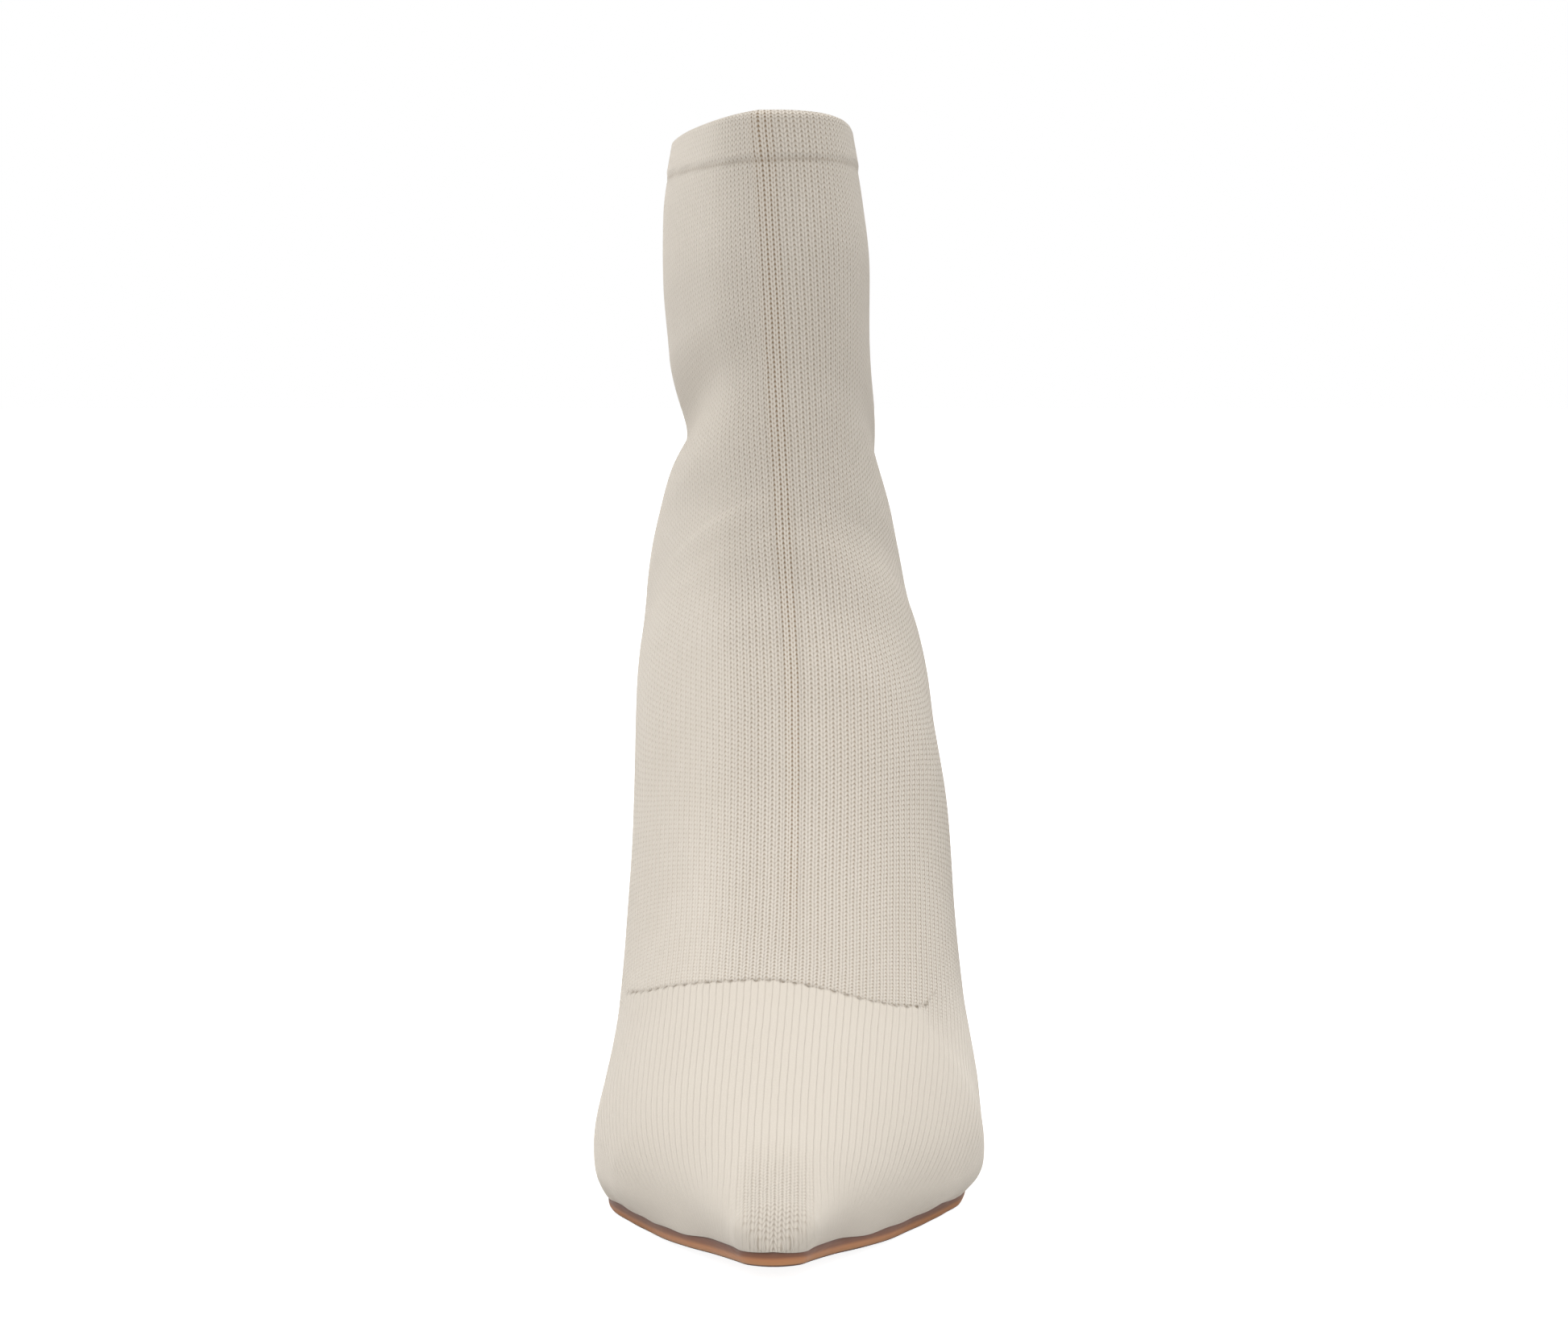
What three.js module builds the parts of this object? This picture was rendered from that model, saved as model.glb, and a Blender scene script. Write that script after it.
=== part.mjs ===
// Pull-on knitted boot for the left foot: pointed toe, slim high heel, soft sock shaft with a turned hem.
// It stands empty on the floor, z = 0. Millimetres, +Z up, toe towards -Y, little toe's side towards +X.
// "at" is always a distance behind the toe tip, and "up" a height above the floor.

import * as THREE from "three";

// Driving sizes of the whole boot
const soleLength = 226; // toe tip to the back edge of the seat
const soleWidth = 76; // across the ball, where the upper meets the sole
const heelHeight = 93; // floor to the underside of the seat, at its back edge
const toeSpring = 4;
const ballWidth = 84; // of the upper
const ballHeight = 46; // of the upper over the sole, at the ball
const heelBulge = 4; // how far the back of the upper stands behind the seat
const shaftHeight = 139; // seat to the top of the collar's front
const collarDepth = 103; // front to back
const collarWidth = 46; // side to side, where the slack tube is widest

// Walls, plates and seats
const wall = 2; // knit and its bonded lining
const hemHeight = 11;
const hemStep = 0.4; // the turned edge stands this much proud of the single knit
const ribWidth = 6.4; // raised column of stitches down the front
const ribShoulder = 0.5; // width of the rib's sloping edge
const ribRise = 0.35;
const noseRadius = 5.5; // of the pointed toe, seen from above
const seatRadius = 28; // round back of the heel seat
const outsoleThickness = 3.5;
const outsoleBevel = 1.1; // how far the tread face is drawn in from the edge
const outsoleSwell = 0.15; // how far the middle of the edge stands out
const insoleThickness = 2.2;
const insoleEase = 0.6; // left round its edge, because the lining leans in over it
const heelBreast = 176; // front edge of the heel block under the seat, behind the toe tip
const tipLength = 10.5;
const tipWidth = 10;
const tipThickness = 6;
const tipInset = 16; // centre of the heel tip, ahead of the seat's back edge
const fit = 0.3; // left between two pieces that touch

// Underside of the outsole, from toe to seat: shares of the sole length, the toe spring and the heel height
const underside = [
  { at: 0.0, toe: 1.0, heel: 0 },
  { at: 0.045, toe: 0.74, heel: 0 },
  { at: 0.09, toe: 0.52, heel: 0 },
  { at: 0.135, toe: 0.33, heel: 0 },
  { at: 0.18, toe: 0.18, heel: 0 },
  { at: 0.225, toe: 0.07, heel: 0 },
  { at: 0.265, toe: 0, heel: 0 },
  { at: 0.375, toe: 0, heel: 0 },
  { at: 0.44, toe: 0, heel: 0.027 },
  { at: 0.51, toe: 0, heel: 0.12 },
  { at: 0.575, toe: 0, heel: 0.27 },
  { at: 0.64, toe: 0, heel: 0.45 },
  { at: 0.707, toe: 0, heel: 0.63 },
  { at: 0.763, toe: 0, heel: 0.76 },
  { at: 0.84, toe: 0, heel: 0.885 },
  { at: 0.926, toe: 0, heel: 0.965 },
  { at: 1.0, toe: 0, heel: 1.0 },
];

// Feather edge, where upper and sole meet, seen from above: shares of the sole length and of the sole
// width, with the shift of its middle towards the outer side
const featherEdge = [
  { at: 0.0, half: 0.066, shift: -0.027 },
  { at: 0.045, half: 0.11, shift: -0.028 },
  { at: 0.09, half: 0.168, shift: -0.027 },
  { at: 0.135, half: 0.245, shift: -0.022 },
  { at: 0.18, half: 0.314, shift: -0.018 },
  { at: 0.225, half: 0.366, shift: -0.016 },
  { at: 0.27, half: 0.42, shift: -0.013 },
  { at: 0.31, half: 0.468, shift: -0.01 },
  { at: 0.35, half: 0.497, shift: 0.004 },
  { at: 0.395, half: 0.5, shift: 0.018 },
  { at: 0.45, half: 0.46, shift: 0.034 },
  { at: 0.52, half: 0.39, shift: 0.048 },
  { at: 0.62, half: 0.335, shift: 0.045 },
  { at: 0.73, half: 0.34, shift: 0.03 },
  { at: 0.84, half: 0.366, shift: 0.018 },
  { at: 0.92, half: 0.37, shift: 0.014 },
  { at: 1.0, half: 0.37, shift: 0.014 },
];

// Sections of the foot, toe to heel. Each stands on the feather edge at "seat", a share of the sole
// length, and leans forward to its crest by "deep", a share of the collar depth. Its crest is over the
// feather edge by "tall" of the ball height and "high" of the shaft height.
const footPath = [
  { seat: 0, deep: 0, tall: 0.17, high: 0 },
  { seat: 0.035, deep: 0.004, tall: 0.22, high: 0 },
  { seat: 0.089, deep: 0.005, tall: 0.35, high: 0 },
  { seat: 0.168, deep: 0.011, tall: 0.53, high: 0 },
  { seat: 0.254, deep: 0.012, tall: 0.73, high: 0 },
  { seat: 0.351, deep: 0.022, tall: 0.965, high: 0 },
  { seat: 0.427, deep: 0.053, tall: 1.115, high: 0.01 },
  { seat: 0.514, deep: 0.112, tall: 1.035, high: 0.055 },
  { seat: 0.593, deep: 0.168, tall: 0.82, high: 0.114 },
  { seat: 0.672, deep: 0.261, tall: 0.56, high: 0.167 },
  { seat: 0.761, deep: 0.404, tall: 0.33, high: 0.2 },
  { seat: 0.841, deep: 0.554, tall: 0.16, high: 0.249 },
  { seat: 0.907, deep: 0.687, tall: 0.06, high: 0.304 },
  { seat: 0.957, deep: 0.791, tall: 0.02, high: 0.346 },
  { seat: 1, deep: 0.885, tall: 0, high: 0.386 },
];

// Form of the same sections. inner and outer are the reach of the sides and ridge the shift of the
// crest, as shares of the ball width. widest is how high up the section that reach lies. round is the
// roundness of the sides below it, and sharp and full that of the inner and the outer side above it: 2
// is an ellipse, and more is squarer.
const footForm = [
  { inner: 0.1, outer: 0.056, ridge: -0.021, widest: 0.4, round: 2, sharp: 2, full: 2 },
  { inner: 0.128, outer: 0.087, ridge: -0.021, widest: 0.38, round: 2, sharp: 2, full: 2 },
  { inner: 0.192, outer: 0.152, ridge: -0.019, widest: 0.34, round: 2, sharp: 2, full: 2 },
  { inner: 0.308, outer: 0.286, ridge: -0.014, widest: 0.29, round: 2.2, sharp: 2, full: 2 },
  { inner: 0.435, outer: 0.43, ridge: -0.004, widest: 0.23, round: 3, sharp: 2, full: 2 },
  { inner: 0.486, outer: 0.512, ridge: 0.01, widest: 0.22, round: 3, sharp: 1.95, full: 2 },
  { inner: 0.47, outer: 0.508, ridge: 0.016, widest: 0.25, round: 2.7, sharp: 1.9, full: 2.05 },
  { inner: 0.44, outer: 0.478, ridge: 0.02, widest: 0.3, round: 2.2, sharp: 1.85, full: 2.15 },
  { inner: 0.42, outer: 0.456, ridge: 0.023, widest: 0.34, round: 2, sharp: 1.8, full: 2.2 },
  { inner: 0.408, outer: 0.442, ridge: 0.022, widest: 0.37, round: 2.1, sharp: 1.75, full: 2.25 },
  { inner: 0.405, outer: 0.412, ridge: 0.016, widest: 0.39, round: 2.3, sharp: 1.7, full: 2.2 },
  { inner: 0.405, outer: 0.398, ridge: 0.008, widest: 0.39, round: 2.5, sharp: 1.7, full: 2.1 },
  { inner: 0.402, outer: 0.38, ridge: 0.001, widest: 0.38, round: 2.7, sharp: 1.65, full: 2 },
  { inner: 0.397, outer: 0.362, ridge: -0.003, widest: 0.37, round: 2.8, sharp: 1.6, full: 1.95 },
  { inner: 0.39, outer: 0.349, ridge: -0.006, widest: 0.375, round: 2.5, sharp: 1.6, full: 1.95 },
];

// Sections above the seat, up to the collar, closed behind. back is how far each stands behind the
// seat, as a share of the heel's bulge. low and high are the heights of its back and crest over the
// seat, as shares of the shaft height, and deep is a share of the collar depth.
const shaftPath = [
  { back: 0.5, low: 0.045, high: 0.426, deep: 0.904 },
  { back: 0.9, low: 0.125, high: 0.48, deep: 0.921 },
  { back: 0.95, low: 0.235, high: 0.545, deep: 0.928 },
  { back: 0.3, low: 0.36, high: 0.62, deep: 0.915 },
  { back: -0.37, low: 0.495, high: 0.703, deep: 0.905 },
  { back: -0.55, low: 0.635, high: 0.797, deep: 0.918 },
  { back: 0, low: 0.775, high: 0.893, deep: 0.955 },
  { back: 0.7, low: 0.915, high: 0.995, deep: 1 },
];

// Form of the same sections, with inner, outer and ridge as shares of the collar width.
const shaftForm = [
  { inner: 0.7, outer: 0.609, ridge: -0.018, widest: 0.385, round: 2.3, sharp: 1.6, full: 2 },
  { inner: 0.66, outer: 0.548, ridge: -0.027, widest: 0.4, round: 2.2, sharp: 1.6, full: 2.15 },
  { inner: 0.591, outer: 0.489, ridge: -0.038, widest: 0.42, round: 2.1, sharp: 1.6, full: 2.45 },
  { inner: 0.507, outer: 0.45, ridge: -0.05, widest: 0.44, round: 2, sharp: 1.6, full: 2.8 },
  { inner: 0.583, outer: 0.43, ridge: -0.063, widest: 0.455, round: 2, sharp: 1.55, full: 3.1 },
  { inner: 0.615, outer: 0.422, ridge: -0.08, widest: 0.46, round: 2, sharp: 1.5, full: 3.3 },
  { inner: 0.609, outer: 0.389, ridge: -0.097, widest: 0.46, round: 2, sharp: 1.42, full: 3.4 },
  { inner: 0.556, outer: 0.33, ridge: -0.123, widest: 0.46, round: 2, sharp: 1.36, full: 3.6 },
];

// The slim heel from its seat down to its tip: shares of the way down, of what its sides keep of the
// seat's extra width over the tip's, and of the way that its breast and its back draw in towards the
// tip.
const heelLevels = [
  { down: 0.0, half: 1.0, breast: 0.0, back: 0.0 },
  { down: 0.06, half: 0.94, breast: 0.07, back: 0.05 },
  { down: 0.14, half: 0.76, breast: 0.27, back: 0.15 },
  { down: 0.24, half: 0.5, breast: 0.52, back: 0.31 },
  { down: 0.36, half: 0.29, breast: 0.74, back: 0.49 },
  { down: 0.5, half: 0.145, breast: 0.89, back: 0.67 },
  { down: 0.66, half: 0.065, breast: 0.965, back: 0.82 },
  { down: 0.83, half: 0.02, breast: 0.995, back: 0.93 },
  { down: 1.0, half: 0, breast: 1.0, back: 1.0 },
];

// Stations along the upper, counted in sections: where its nose is rounded, how many follow in each
// section, and those added where its feather edge turns, at the ball, over the arch and round the back
// of the seat
const noseStations = [0, 0.06, 0.2, 0.42, 0.7];
const turnStations = [
  4.25, 4.75, 5.25, 5.75, 9.25, 9.75, 10.25, 10.75, 11.25, 12.75, 13.25, 13.75, 13.88, 13.96,
];
const stationsPerSection = 2;
const stationGap = 0.2; // least distance of a station from the hem's edge
const pointsBelowWidest = 6;
const pointsAboveWidest = 11;
const seatPoints = 13; // along each side of the heel's seat

// Stations of the plates, as shares of the sole length, and of the heel, as shares of the way down
const plateStations = [
  0.003, 0.009, 0.018, 0.035, 0.06, 0.09, 0.13, 0.17, 0.21, 0.25, 0.29, 0.33, 0.37, 0.4, 0.43, 0.46,
  0.49, 0.52, 0.55, 0.58, 0.61, 0.64, 0.67, 0.7, 0.73, 0.76, 0.79, 0.82, 0.85, 0.88, 0.91, 0.935, 0.955,
  0.972, 0.985, 0.994,
];
const heelStations = [1, 0.91, 0.82, 0.73, 0.64, 0.55, 0.46, 0.37, 0.29, 0.22, 0.16, 0.11, 0.07, 0.03, 0];

// Steps over which slopes are measured, along the sole, along its edge, and in sections or turns of the
// upper
const slopeStep = 1;
const edgeStep = 0.05;
const placeStep = 0.02;

// A smooth curve through one column of a table, with no overshoot between its rows.
function column(rows, key, places = rows.map((row) => row.at)) {
  const last = rows.length - 1;
  const values = rows.map((row) => row[key]);
  const steps = values.slice(1).map((value, i) => (value - values[i]) / (places[i + 1] - places[i]));
  const slopes = values.map((_, i) => {
    if (i === 0) return steps[0];
    if (i === last) return steps[last - 1];
    const product = steps[i - 1] * steps[i];
    return product <= 0 ? 0 : (2 * product) / (steps[i - 1] + steps[i]);
  });
  return (place) => {
    let i = 0;
    while (i < last - 1 && place > places[i + 1]) i += 1;
    const span = places[i + 1] - places[i];
    const t = Math.min(1, Math.max(0, (place - places[i]) / span));
    return (
      values[i] * (1 + 2 * t) * (1 - t) ** 2 +
      slopes[i] * span * t * (1 - t) ** 2 +
      values[i + 1] * t * t * (3 - 2 * t) +
      slopes[i + 1] * span * t * t * (t - 1)
    );
  };
}

const toeShare = column(underside, "toe");
const heelShare = column(underside, "heel");
const halfShare = column(featherEdge, "half");
const shiftShare = column(featherEdge, "shift");

// Heights of the sole's layers behind the toe tip. Where the sole climbs, its layers keep their thickness.
const undersideUp = (at) => toeShare(at / soleLength) * toeSpring + heelShare(at / soleLength) * heelHeight;
const climb = (at) => (undersideUp(at + slopeStep) - undersideUp(at - slopeStep)) / (2 * slopeStep);
const layerUp = (at, thickness) => undersideUp(at) + thickness * Math.hypot(1, climb(at));
const outsoleTopUp = (at) => layerUp(at, outsoleThickness);
const featherUp = (at) => layerUp(at, outsoleThickness + fit);
const seatUp = featherUp(soleLength);

// A rounded end for an outline: 1 away from it, falling to 0 at its very tip as an arc does.
function endArc(distance, radius) {
  if (distance >= radius) return 1;
  return Math.sqrt(Math.max(0, 1 - (1 - distance / radius) ** 2));
}

const featherMiddle = (at) => shiftShare(at / soleLength) * soleWidth;

function featherHalf(at) {
  const ends = endArc(at, noseRadius) * endArc(soleLength - at, seatRadius);
  return halfShare(at / soleLength) * soleWidth * ends;
}

// One section of the upper in millimetres, from a row of either table.
function footSection(row) {
  const backAt = row.seat * soleLength;
  return {
    ...row,
    backAt,
    backUp: featherUp(backAt),
    crestAt: backAt - row.deep * collarDepth,
    crestUp: featherUp(backAt) + row.tall * ballHeight + row.high * shaftHeight,
    innerX: -row.inner * ballWidth,
    outerX: row.outer * ballWidth,
    ridgeX: row.ridge * ballWidth,
    middleX: featherMiddle(backAt),
  };
}

function shaftSection(row) {
  const backAt = soleLength + row.back * heelBulge;
  return {
    ...row,
    backAt,
    backUp: seatUp + row.low * shaftHeight,
    crestAt: backAt - row.deep * collarDepth,
    crestUp: seatUp + row.high * shaftHeight,
    innerX: -row.inner * collarWidth,
    outerX: row.outer * collarWidth,
    ridgeX: row.ridge * collarWidth,
    middleX: featherMiddle(soleLength) + row.ridge * collarWidth,
  };
}

const footSections = footPath.map((row, i) => footSection({ ...row, ...footForm[i] }));
const shaftSections = shaftPath.map((row, i) => shaftSection({ ...row, ...shaftForm[i] }));
const sections = [...footSections, ...shaftSections];
const seatSection = footSections.length - 1; // on the seat's back edge, where the feather edge closes
const topSection = sections.length - 1;
const sectionPlaces = sections.map((_, i) => i);
const backKeys = ["backAt", "backUp"];
const wholeKeys = [
  "crestAt", "crestUp", "innerX", "outerX", "ridgeX", "middleX", "widest", "round", "sharp", "full",
];
const sectionColumns = [
  ...backKeys.map((key) => [key, backColumn(key)]),
  ...wholeKeys.map((key) => [key, sectionColumn(key)]),
];

function sectionColumn(key, from = 0, to = topSection) {
  return column(sections.slice(from, to + 1), key, sectionPlaces.slice(from, to + 1));
}

// The back of the sections runs along the seat and then turns sharply upwards, so its curve is in two
// parts.
function backColumn(key) {
  const [foot, shaft] = [sectionColumn(key, 0, seatSection), sectionColumn(key, seatSection)];
  return (place) => (place <= seatSection ? foot(place) : shaft(place));
}

// A section at any place between the tables' rows. The nose is rounded from above and from the side.
function sectionAt(place) {
  const section = Object.fromEntries(sectionColumns.map(([key, curve]) => [key, curve(place)]));
  section.feather = 0;
  if (place > seatSection) return section;
  const nose = endArc(section.backAt, noseRadius);
  section.backUp = featherUp(section.backAt);
  section.crestUp = section.backUp + (section.crestUp - section.backUp) * nose;
  section.middleX = featherMiddle(section.backAt);
  for (const key of ["innerX", "outerX", "ridgeX"]) {
    section[key] = section.middleX + (section[key] - section.middleX) * nose;
  }
  section.feather = featherHalf(section.backAt);
  return section;
}

const mostTuckedIn = 0.97; // of the reach: a wider feather edge is met by widening the side towards it
const smoothReach = 1; // sections on each side of the seat's back over which the surface is smoothed
const smoothFrom = 0.6; // turn from which it is all smooth

// A point of a section. Its side runs from the feather edge, turn 0, out to the widest place, turn 1,
// as a cut-off ellipse, and from there in to the crest, turn 2, as a fuller or sharper one.
function sectionPoint(section, side, turn) {
  const reach = side < 0 ? section.middleX - section.innerX : section.outerX - section.middleX;
  let x;
  let share;
  if (turn <= 1) {
    const power = 2 / section.round;
    const tucked = Math.min(mostTuckedIn, section.feather / reach);
    const start = Math.asin(tucked ** (1 / power));
    const angle = start + (Math.PI / 2 - start) * turn;
    const scale = section.feather > 0 ? section.feather / tucked : reach;
    x = section.middleX + side * (scale + (reach - scale) * turn) * Math.sin(angle) ** power;
    share = section.widest * (1 - Math.min(1, Math.cos(angle) / Math.cos(start)) ** power);
  } else {
    const angle = (Math.PI / 2) * (turn - 1);
    const power = 2 / (side < 0 ? section.sharp : section.full);
    const top = side < 0 ? section.innerX : section.outerX;
    x = section.ridgeX + (top - section.ridgeX) * Math.cos(angle) ** power;
    share = section.widest + (1 - section.widest) * Math.sin(angle) ** power;
  }
  return new THREE.Vector3(
    x,
    section.backAt + (section.crestAt - section.backAt) * share,
    section.backUp + (section.crestUp - section.backUp) * share,
  );
}

// A point of the upper's plain surface. Near the seat's back, where the sections' backs turn upwards,
// the surface above the feather edge runs smoothly from the section before it to the one after.
function surfacePoint(place, side, turn) {
  const plain = sectionPoint(sectionAt(place), side, turn);
  const [from, to] = [seatSection - smoothReach, seatSection + smoothReach];
  if (place <= from || place >= to || turn === 0) return plain;
  const ahead = (place - from) / (to - from);
  const at = (where) => sectionPoint(sectionAt(where), side, turn);
  const [start, end] = [at(from), at(to)];
  const leaving = start.clone().sub(at(from - placeStep)).multiplyScalar((to - from) / placeStep);
  const arriving = at(to + placeStep).sub(end).multiplyScalar((to - from) / placeStep);
  const smooth = start
    .multiplyScalar((1 + 2 * ahead) * (1 - ahead) ** 2)
    .addScaledVector(leaving, ahead * (1 - ahead) ** 2)
    .addScaledVector(end, ahead * ahead * (3 - 2 * ahead))
    .addScaledVector(arriving, ahead * ahead * (ahead - 1));
  return plain.lerp(smooth, THREE.MathUtils.smoothstep(turn, 0, smoothFrom));
}

const widestRib = 0.6; // of a side's reach, which matters only at the very toe, where the rib has faded

// The turn at which a section's side is a given distance from its crest, for the edges of the rib.
function turnNearCrest(section, side, distance) {
  const reach = Math.abs((side < 0 ? section.innerX : section.outerX) - section.ridgeX);
  const power = 2 / (side < 0 ? section.sharp : section.full);
  return 1 + (Math.acos(Math.min(widestRib, distance / reach) ** (1 / power)) * 2) / Math.PI;
}

// Turns of one side's points, from the feather edge to the crest. The last three are the rib's foot,
// shoulder and top.
function sideTurns(section, side) {
  const foot = turnNearCrest(section, side, ribWidth / 2);
  const shoulder = turnNearCrest(section, side, ribWidth / 2 - ribShoulder);
  const below = Array.from({ length: pointsBelowWidest }, (_, k) => k / pointsBelowWidest);
  const step = (foot - 1) / (pointsAboveWidest - 1);
  const above = Array.from({ length: pointsAboveWidest }, (_, k) => 1 + step * k);
  return [...below, ...above, shoulder, 2];
}

// The rib fades out just behind the toe, and the hem begins a hem's height under the collar.
const ribEnd = { none: 5.2, whole: 6.6 };
const ribShare = (place) => Math.min(1, Math.max(0, (place - ribEnd.none) / (ribEnd.whole - ribEnd.none)));
const lastRise = sections[topSection].crestUp - sections[topSection - 1].crestUp;
const hemSection = topSection - hemHeight / lastRise;
const hemEdge = 0.03; // sections over which the hem's step rises

function stationPlaces() {
  const count = (topSection - 1) * stationsPerSection;
  const places = Array.from({ length: count + 1 }, (_, k) => 1 + k / stationsPerSection);
  const clear = places.filter((place) => Math.abs(place - hemSection) > stationGap);
  return [...noseStations, ...clear, ...turnStations, hemSection, hemSection + hemEdge].sort((a, b) => a - b);
}

// Outward direction of the plain surface, from its slopes along and around the boot.
function outward(place, side, turn) {
  const [before, after] = [place - placeStep, Math.min(topSection, place + placeStep)];
  const along = surfacePoint(after, side, turn).sub(surfacePoint(before, side, turn));
  const [lower, upper] = [Math.max(0, turn - placeStep), Math.min(2, turn + placeStep)];
  const around = surfacePoint(place, side, upper).sub(surfacePoint(place, side, lower));
  return along.cross(around).multiplyScalar(side).normalize();
}

// The feather edge's outward direction, level with the floor.
function featherOutward(at, side) {
  if (at >= soleLength) return new THREE.Vector3(0, 1, 0);
  const edgeX = (where) => featherMiddle(where) + side * featherHalf(where);
  const [before, after] = [Math.max(0, at - edgeStep), Math.min(soleLength, at + edgeStep)];
  return new THREE.Vector3((after - before) * side, (edgeX(before) - edgeX(after)) * side, 0).normalize();
}

// A point of the feather edge, drawn in from it by a given distance, at a height that follows the sole.
function edgePoint(at, side, inset, upAt) {
  const edge = new THREE.Vector3(featherMiddle(at) + side * featherHalf(at), at, 0);
  edge.addScaledVector(featherOutward(at, side), -inset);
  edge.z = upAt(edge.y);
  return edge;
}

// One row of points of the upper, from the inner feather edge over the crest to the outer one.
// depth is 0 on the outside and the wall's thickness on the inside.
function upperRow(place, depth) {
  const section = sectionAt(place);
  const half = (side) =>
    sideTurns(section, side).map((turn, k, turns) => {
      const point = surfacePoint(place, side, turn);
      if (turn === 0 && place <= seatSection) return edgePoint(section.backAt, side, depth, featherUp);
      const onRib = k >= turns.length - 2 ? ribRise * ribShare(place) : 0;
      const onHem = place > hemSection ? hemStep : 0;
      const outside = depth === 0 ? onRib + onHem : -depth;
      const direction = outward(place, side, turn);
      if (turn === 0 || turn === 2) direction.add(outward(place, -side, turn)).normalize();
      return point.addScaledVector(direction, outside);
    });
  const innerSide = half(-1);
  const outerSide = half(1);
  return [...innerSide, ...outerSide.slice(0, -1).reverse()];
}

// A closed solid from points and faces, with flat triangles.
function solidFrom(points, faces) {
  const corners = faces.flatMap(([a, b, c, d]) => (d === undefined ? [[a, b, c]] : [[a, b, c], [a, c, d]]));
  const whole = corners.filter(([a, b, c]) => a !== b && b !== c && c !== a);
  const geometry = new THREE.BufferGeometry().setFromPoints(points);
  geometry.setIndex(whole.flat());
  geometry.computeVertexNormals();
  return geometry;
}

// The upper: an outer and an inner sheet, joined along the feather edge and round the collar.
function upperGeometry() {
  const places = stationPlaces();
  const top = places.length - 1;
  const closing = places.indexOf(seatSection);
  const points = [];
  const sheet = (rowAt) =>
    places.map((place, i) => {
      const row = rowAt(place);
      if (i === 0) {
        points.push(row[0].clone().add(row[row.length - 1]).multiplyScalar(0.5));
        return row.map(() => points.length - 1);
      }
      const shared = i >= closing;
      const from = points.length;
      points.push(...(shared ? row.slice(0, -1) : row));
      return row.map((_, k) => (shared && k === row.length - 1 ? from : from + k));
    });
  const outside = sheet((place) => upperRow(place, 0));
  const inside = sheet((place) => upperRow(place, wall));
  const faces = [];
  const width = outside[0].length - 1;
  for (let i = 0; i < top; i += 1) {
    for (let k = 0; k < width; k += 1) {
      faces.push([outside[i][k], outside[i][k + 1], outside[i + 1][k + 1], outside[i + 1][k]]);
      faces.push([inside[i][k], inside[i + 1][k], inside[i + 1][k + 1], inside[i][k + 1]]);
    }
  }
  for (let i = 0; i < closing; i += 1) {
    faces.push([outside[i][0], outside[i + 1][0], inside[i + 1][0], inside[i][0]]);
    faces.push([outside[i][width], inside[i][width], inside[i + 1][width], outside[i + 1][width]]);
  }
  for (let k = 0; k < width; k += 1) {
    faces.push([outside[top][k], outside[top][k + 1], inside[top][k + 1], inside[top][k]]);
  }
  return solidFrom(points, faces);
}

// A closed solid through rings of points, one after another. Each end is closed by strips between
// facing points.
function loft(rings) {
  const count = rings[0].length;
  const faces = [];
  for (let i = 0; i < rings.length - 1; i += 1) {
    for (let k = 0; k < count; k += 1) {
      const next = (k + 1) % count;
      faces.push([i * count + k, i * count + next, (i + 1) * count + next, (i + 1) * count + k]);
    }
  }
  const last = (rings.length - 1) * count;
  for (let k = 0; k < count / 2 - 1; k += 1) {
    const far = count - 1 - k;
    faces.push([k, far, far - 1, k + 1]);
    faces.push([last + k, last + k + 1, last + far - 1, last + far]);
  }
  return solidFrom(rings.flat(), faces);
}

const acrossShares = [0, 0.25, 0.5, 0.75, 1];
const endGap = 0.15; // a plate's end rings stand this far from the very tip, so that they have some width
const shortestStep = 0.5; // between a plate's end and its next station

// Places along the plates between two ends, the same for each plate so that their layers keep their gap.
function platePlaces(from, to) {
  const inner = plateStations
    .map((share) => share * soleLength)
    .filter((at) => at > from + shortestStep && at < to - shortestStep);
  return [from, ...inner, to];
}

// Points across the sole between two facing edge points, at a height that follows the sole.
function across(left, right, upAt) {
  return acrossShares.map((share) => {
    const point = left.clone().lerp(right, share);
    point.z = upAt(point.y);
    return point;
  });
}

const outsoleEnd = heelBreast - fit;
const waistShare = 0.45; // of the outsole's thickness, where its edge swells out
const waistUp = (at) => layerUp(at, outsoleThickness * waistShare);

function outsoleGeometry() {
  const rings = platePlaces(endGap, outsoleEnd).map((at) => {
    const top = (side) => edgePoint(at, side, 0, outsoleTopUp);
    const waist = (side) => edgePoint(at, side, -outsoleSwell, waistUp);
    const tread = (side) => edgePoint(at, side, outsoleBevel, undersideUp);
    return [
      waist(-1),
      ...across(top(-1), top(1), outsoleTopUp),
      waist(1),
      ...across(tread(1), tread(-1), undersideUp),
    ];
  });
  return loft(rings);
}

const insoleTopUp = (at) => layerUp(at, outsoleThickness + fit + insoleThickness);

function insoleGeometry() {
  const inset = wall + insoleEase;
  const rings = platePlaces(endGap, soleLength - endGap).map((at) => {
    const edge = (side) => edgePoint(at, side, inset, featherUp);
    return [...across(edge(-1), edge(1), insoleTopUp), ...across(edge(1), edge(-1), featherUp)];
  });
  return loft(rings);
}

// Outline of the heel seat behind its breast, with facing points on the two sides.
function seatOutline() {
  const reach = soleLength - endGap - heelBreast;
  const side = (sign) =>
    Array.from({ length: seatPoints + 1 }, (_, k) => {
      const at = heelBreast + reach * Math.sin((Math.PI * k) / (2 * seatPoints));
      return edgePoint(at, sign, 0, outsoleTopUp);
    });
  return [...side(1), ...side(-1).reverse()];
}

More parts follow.
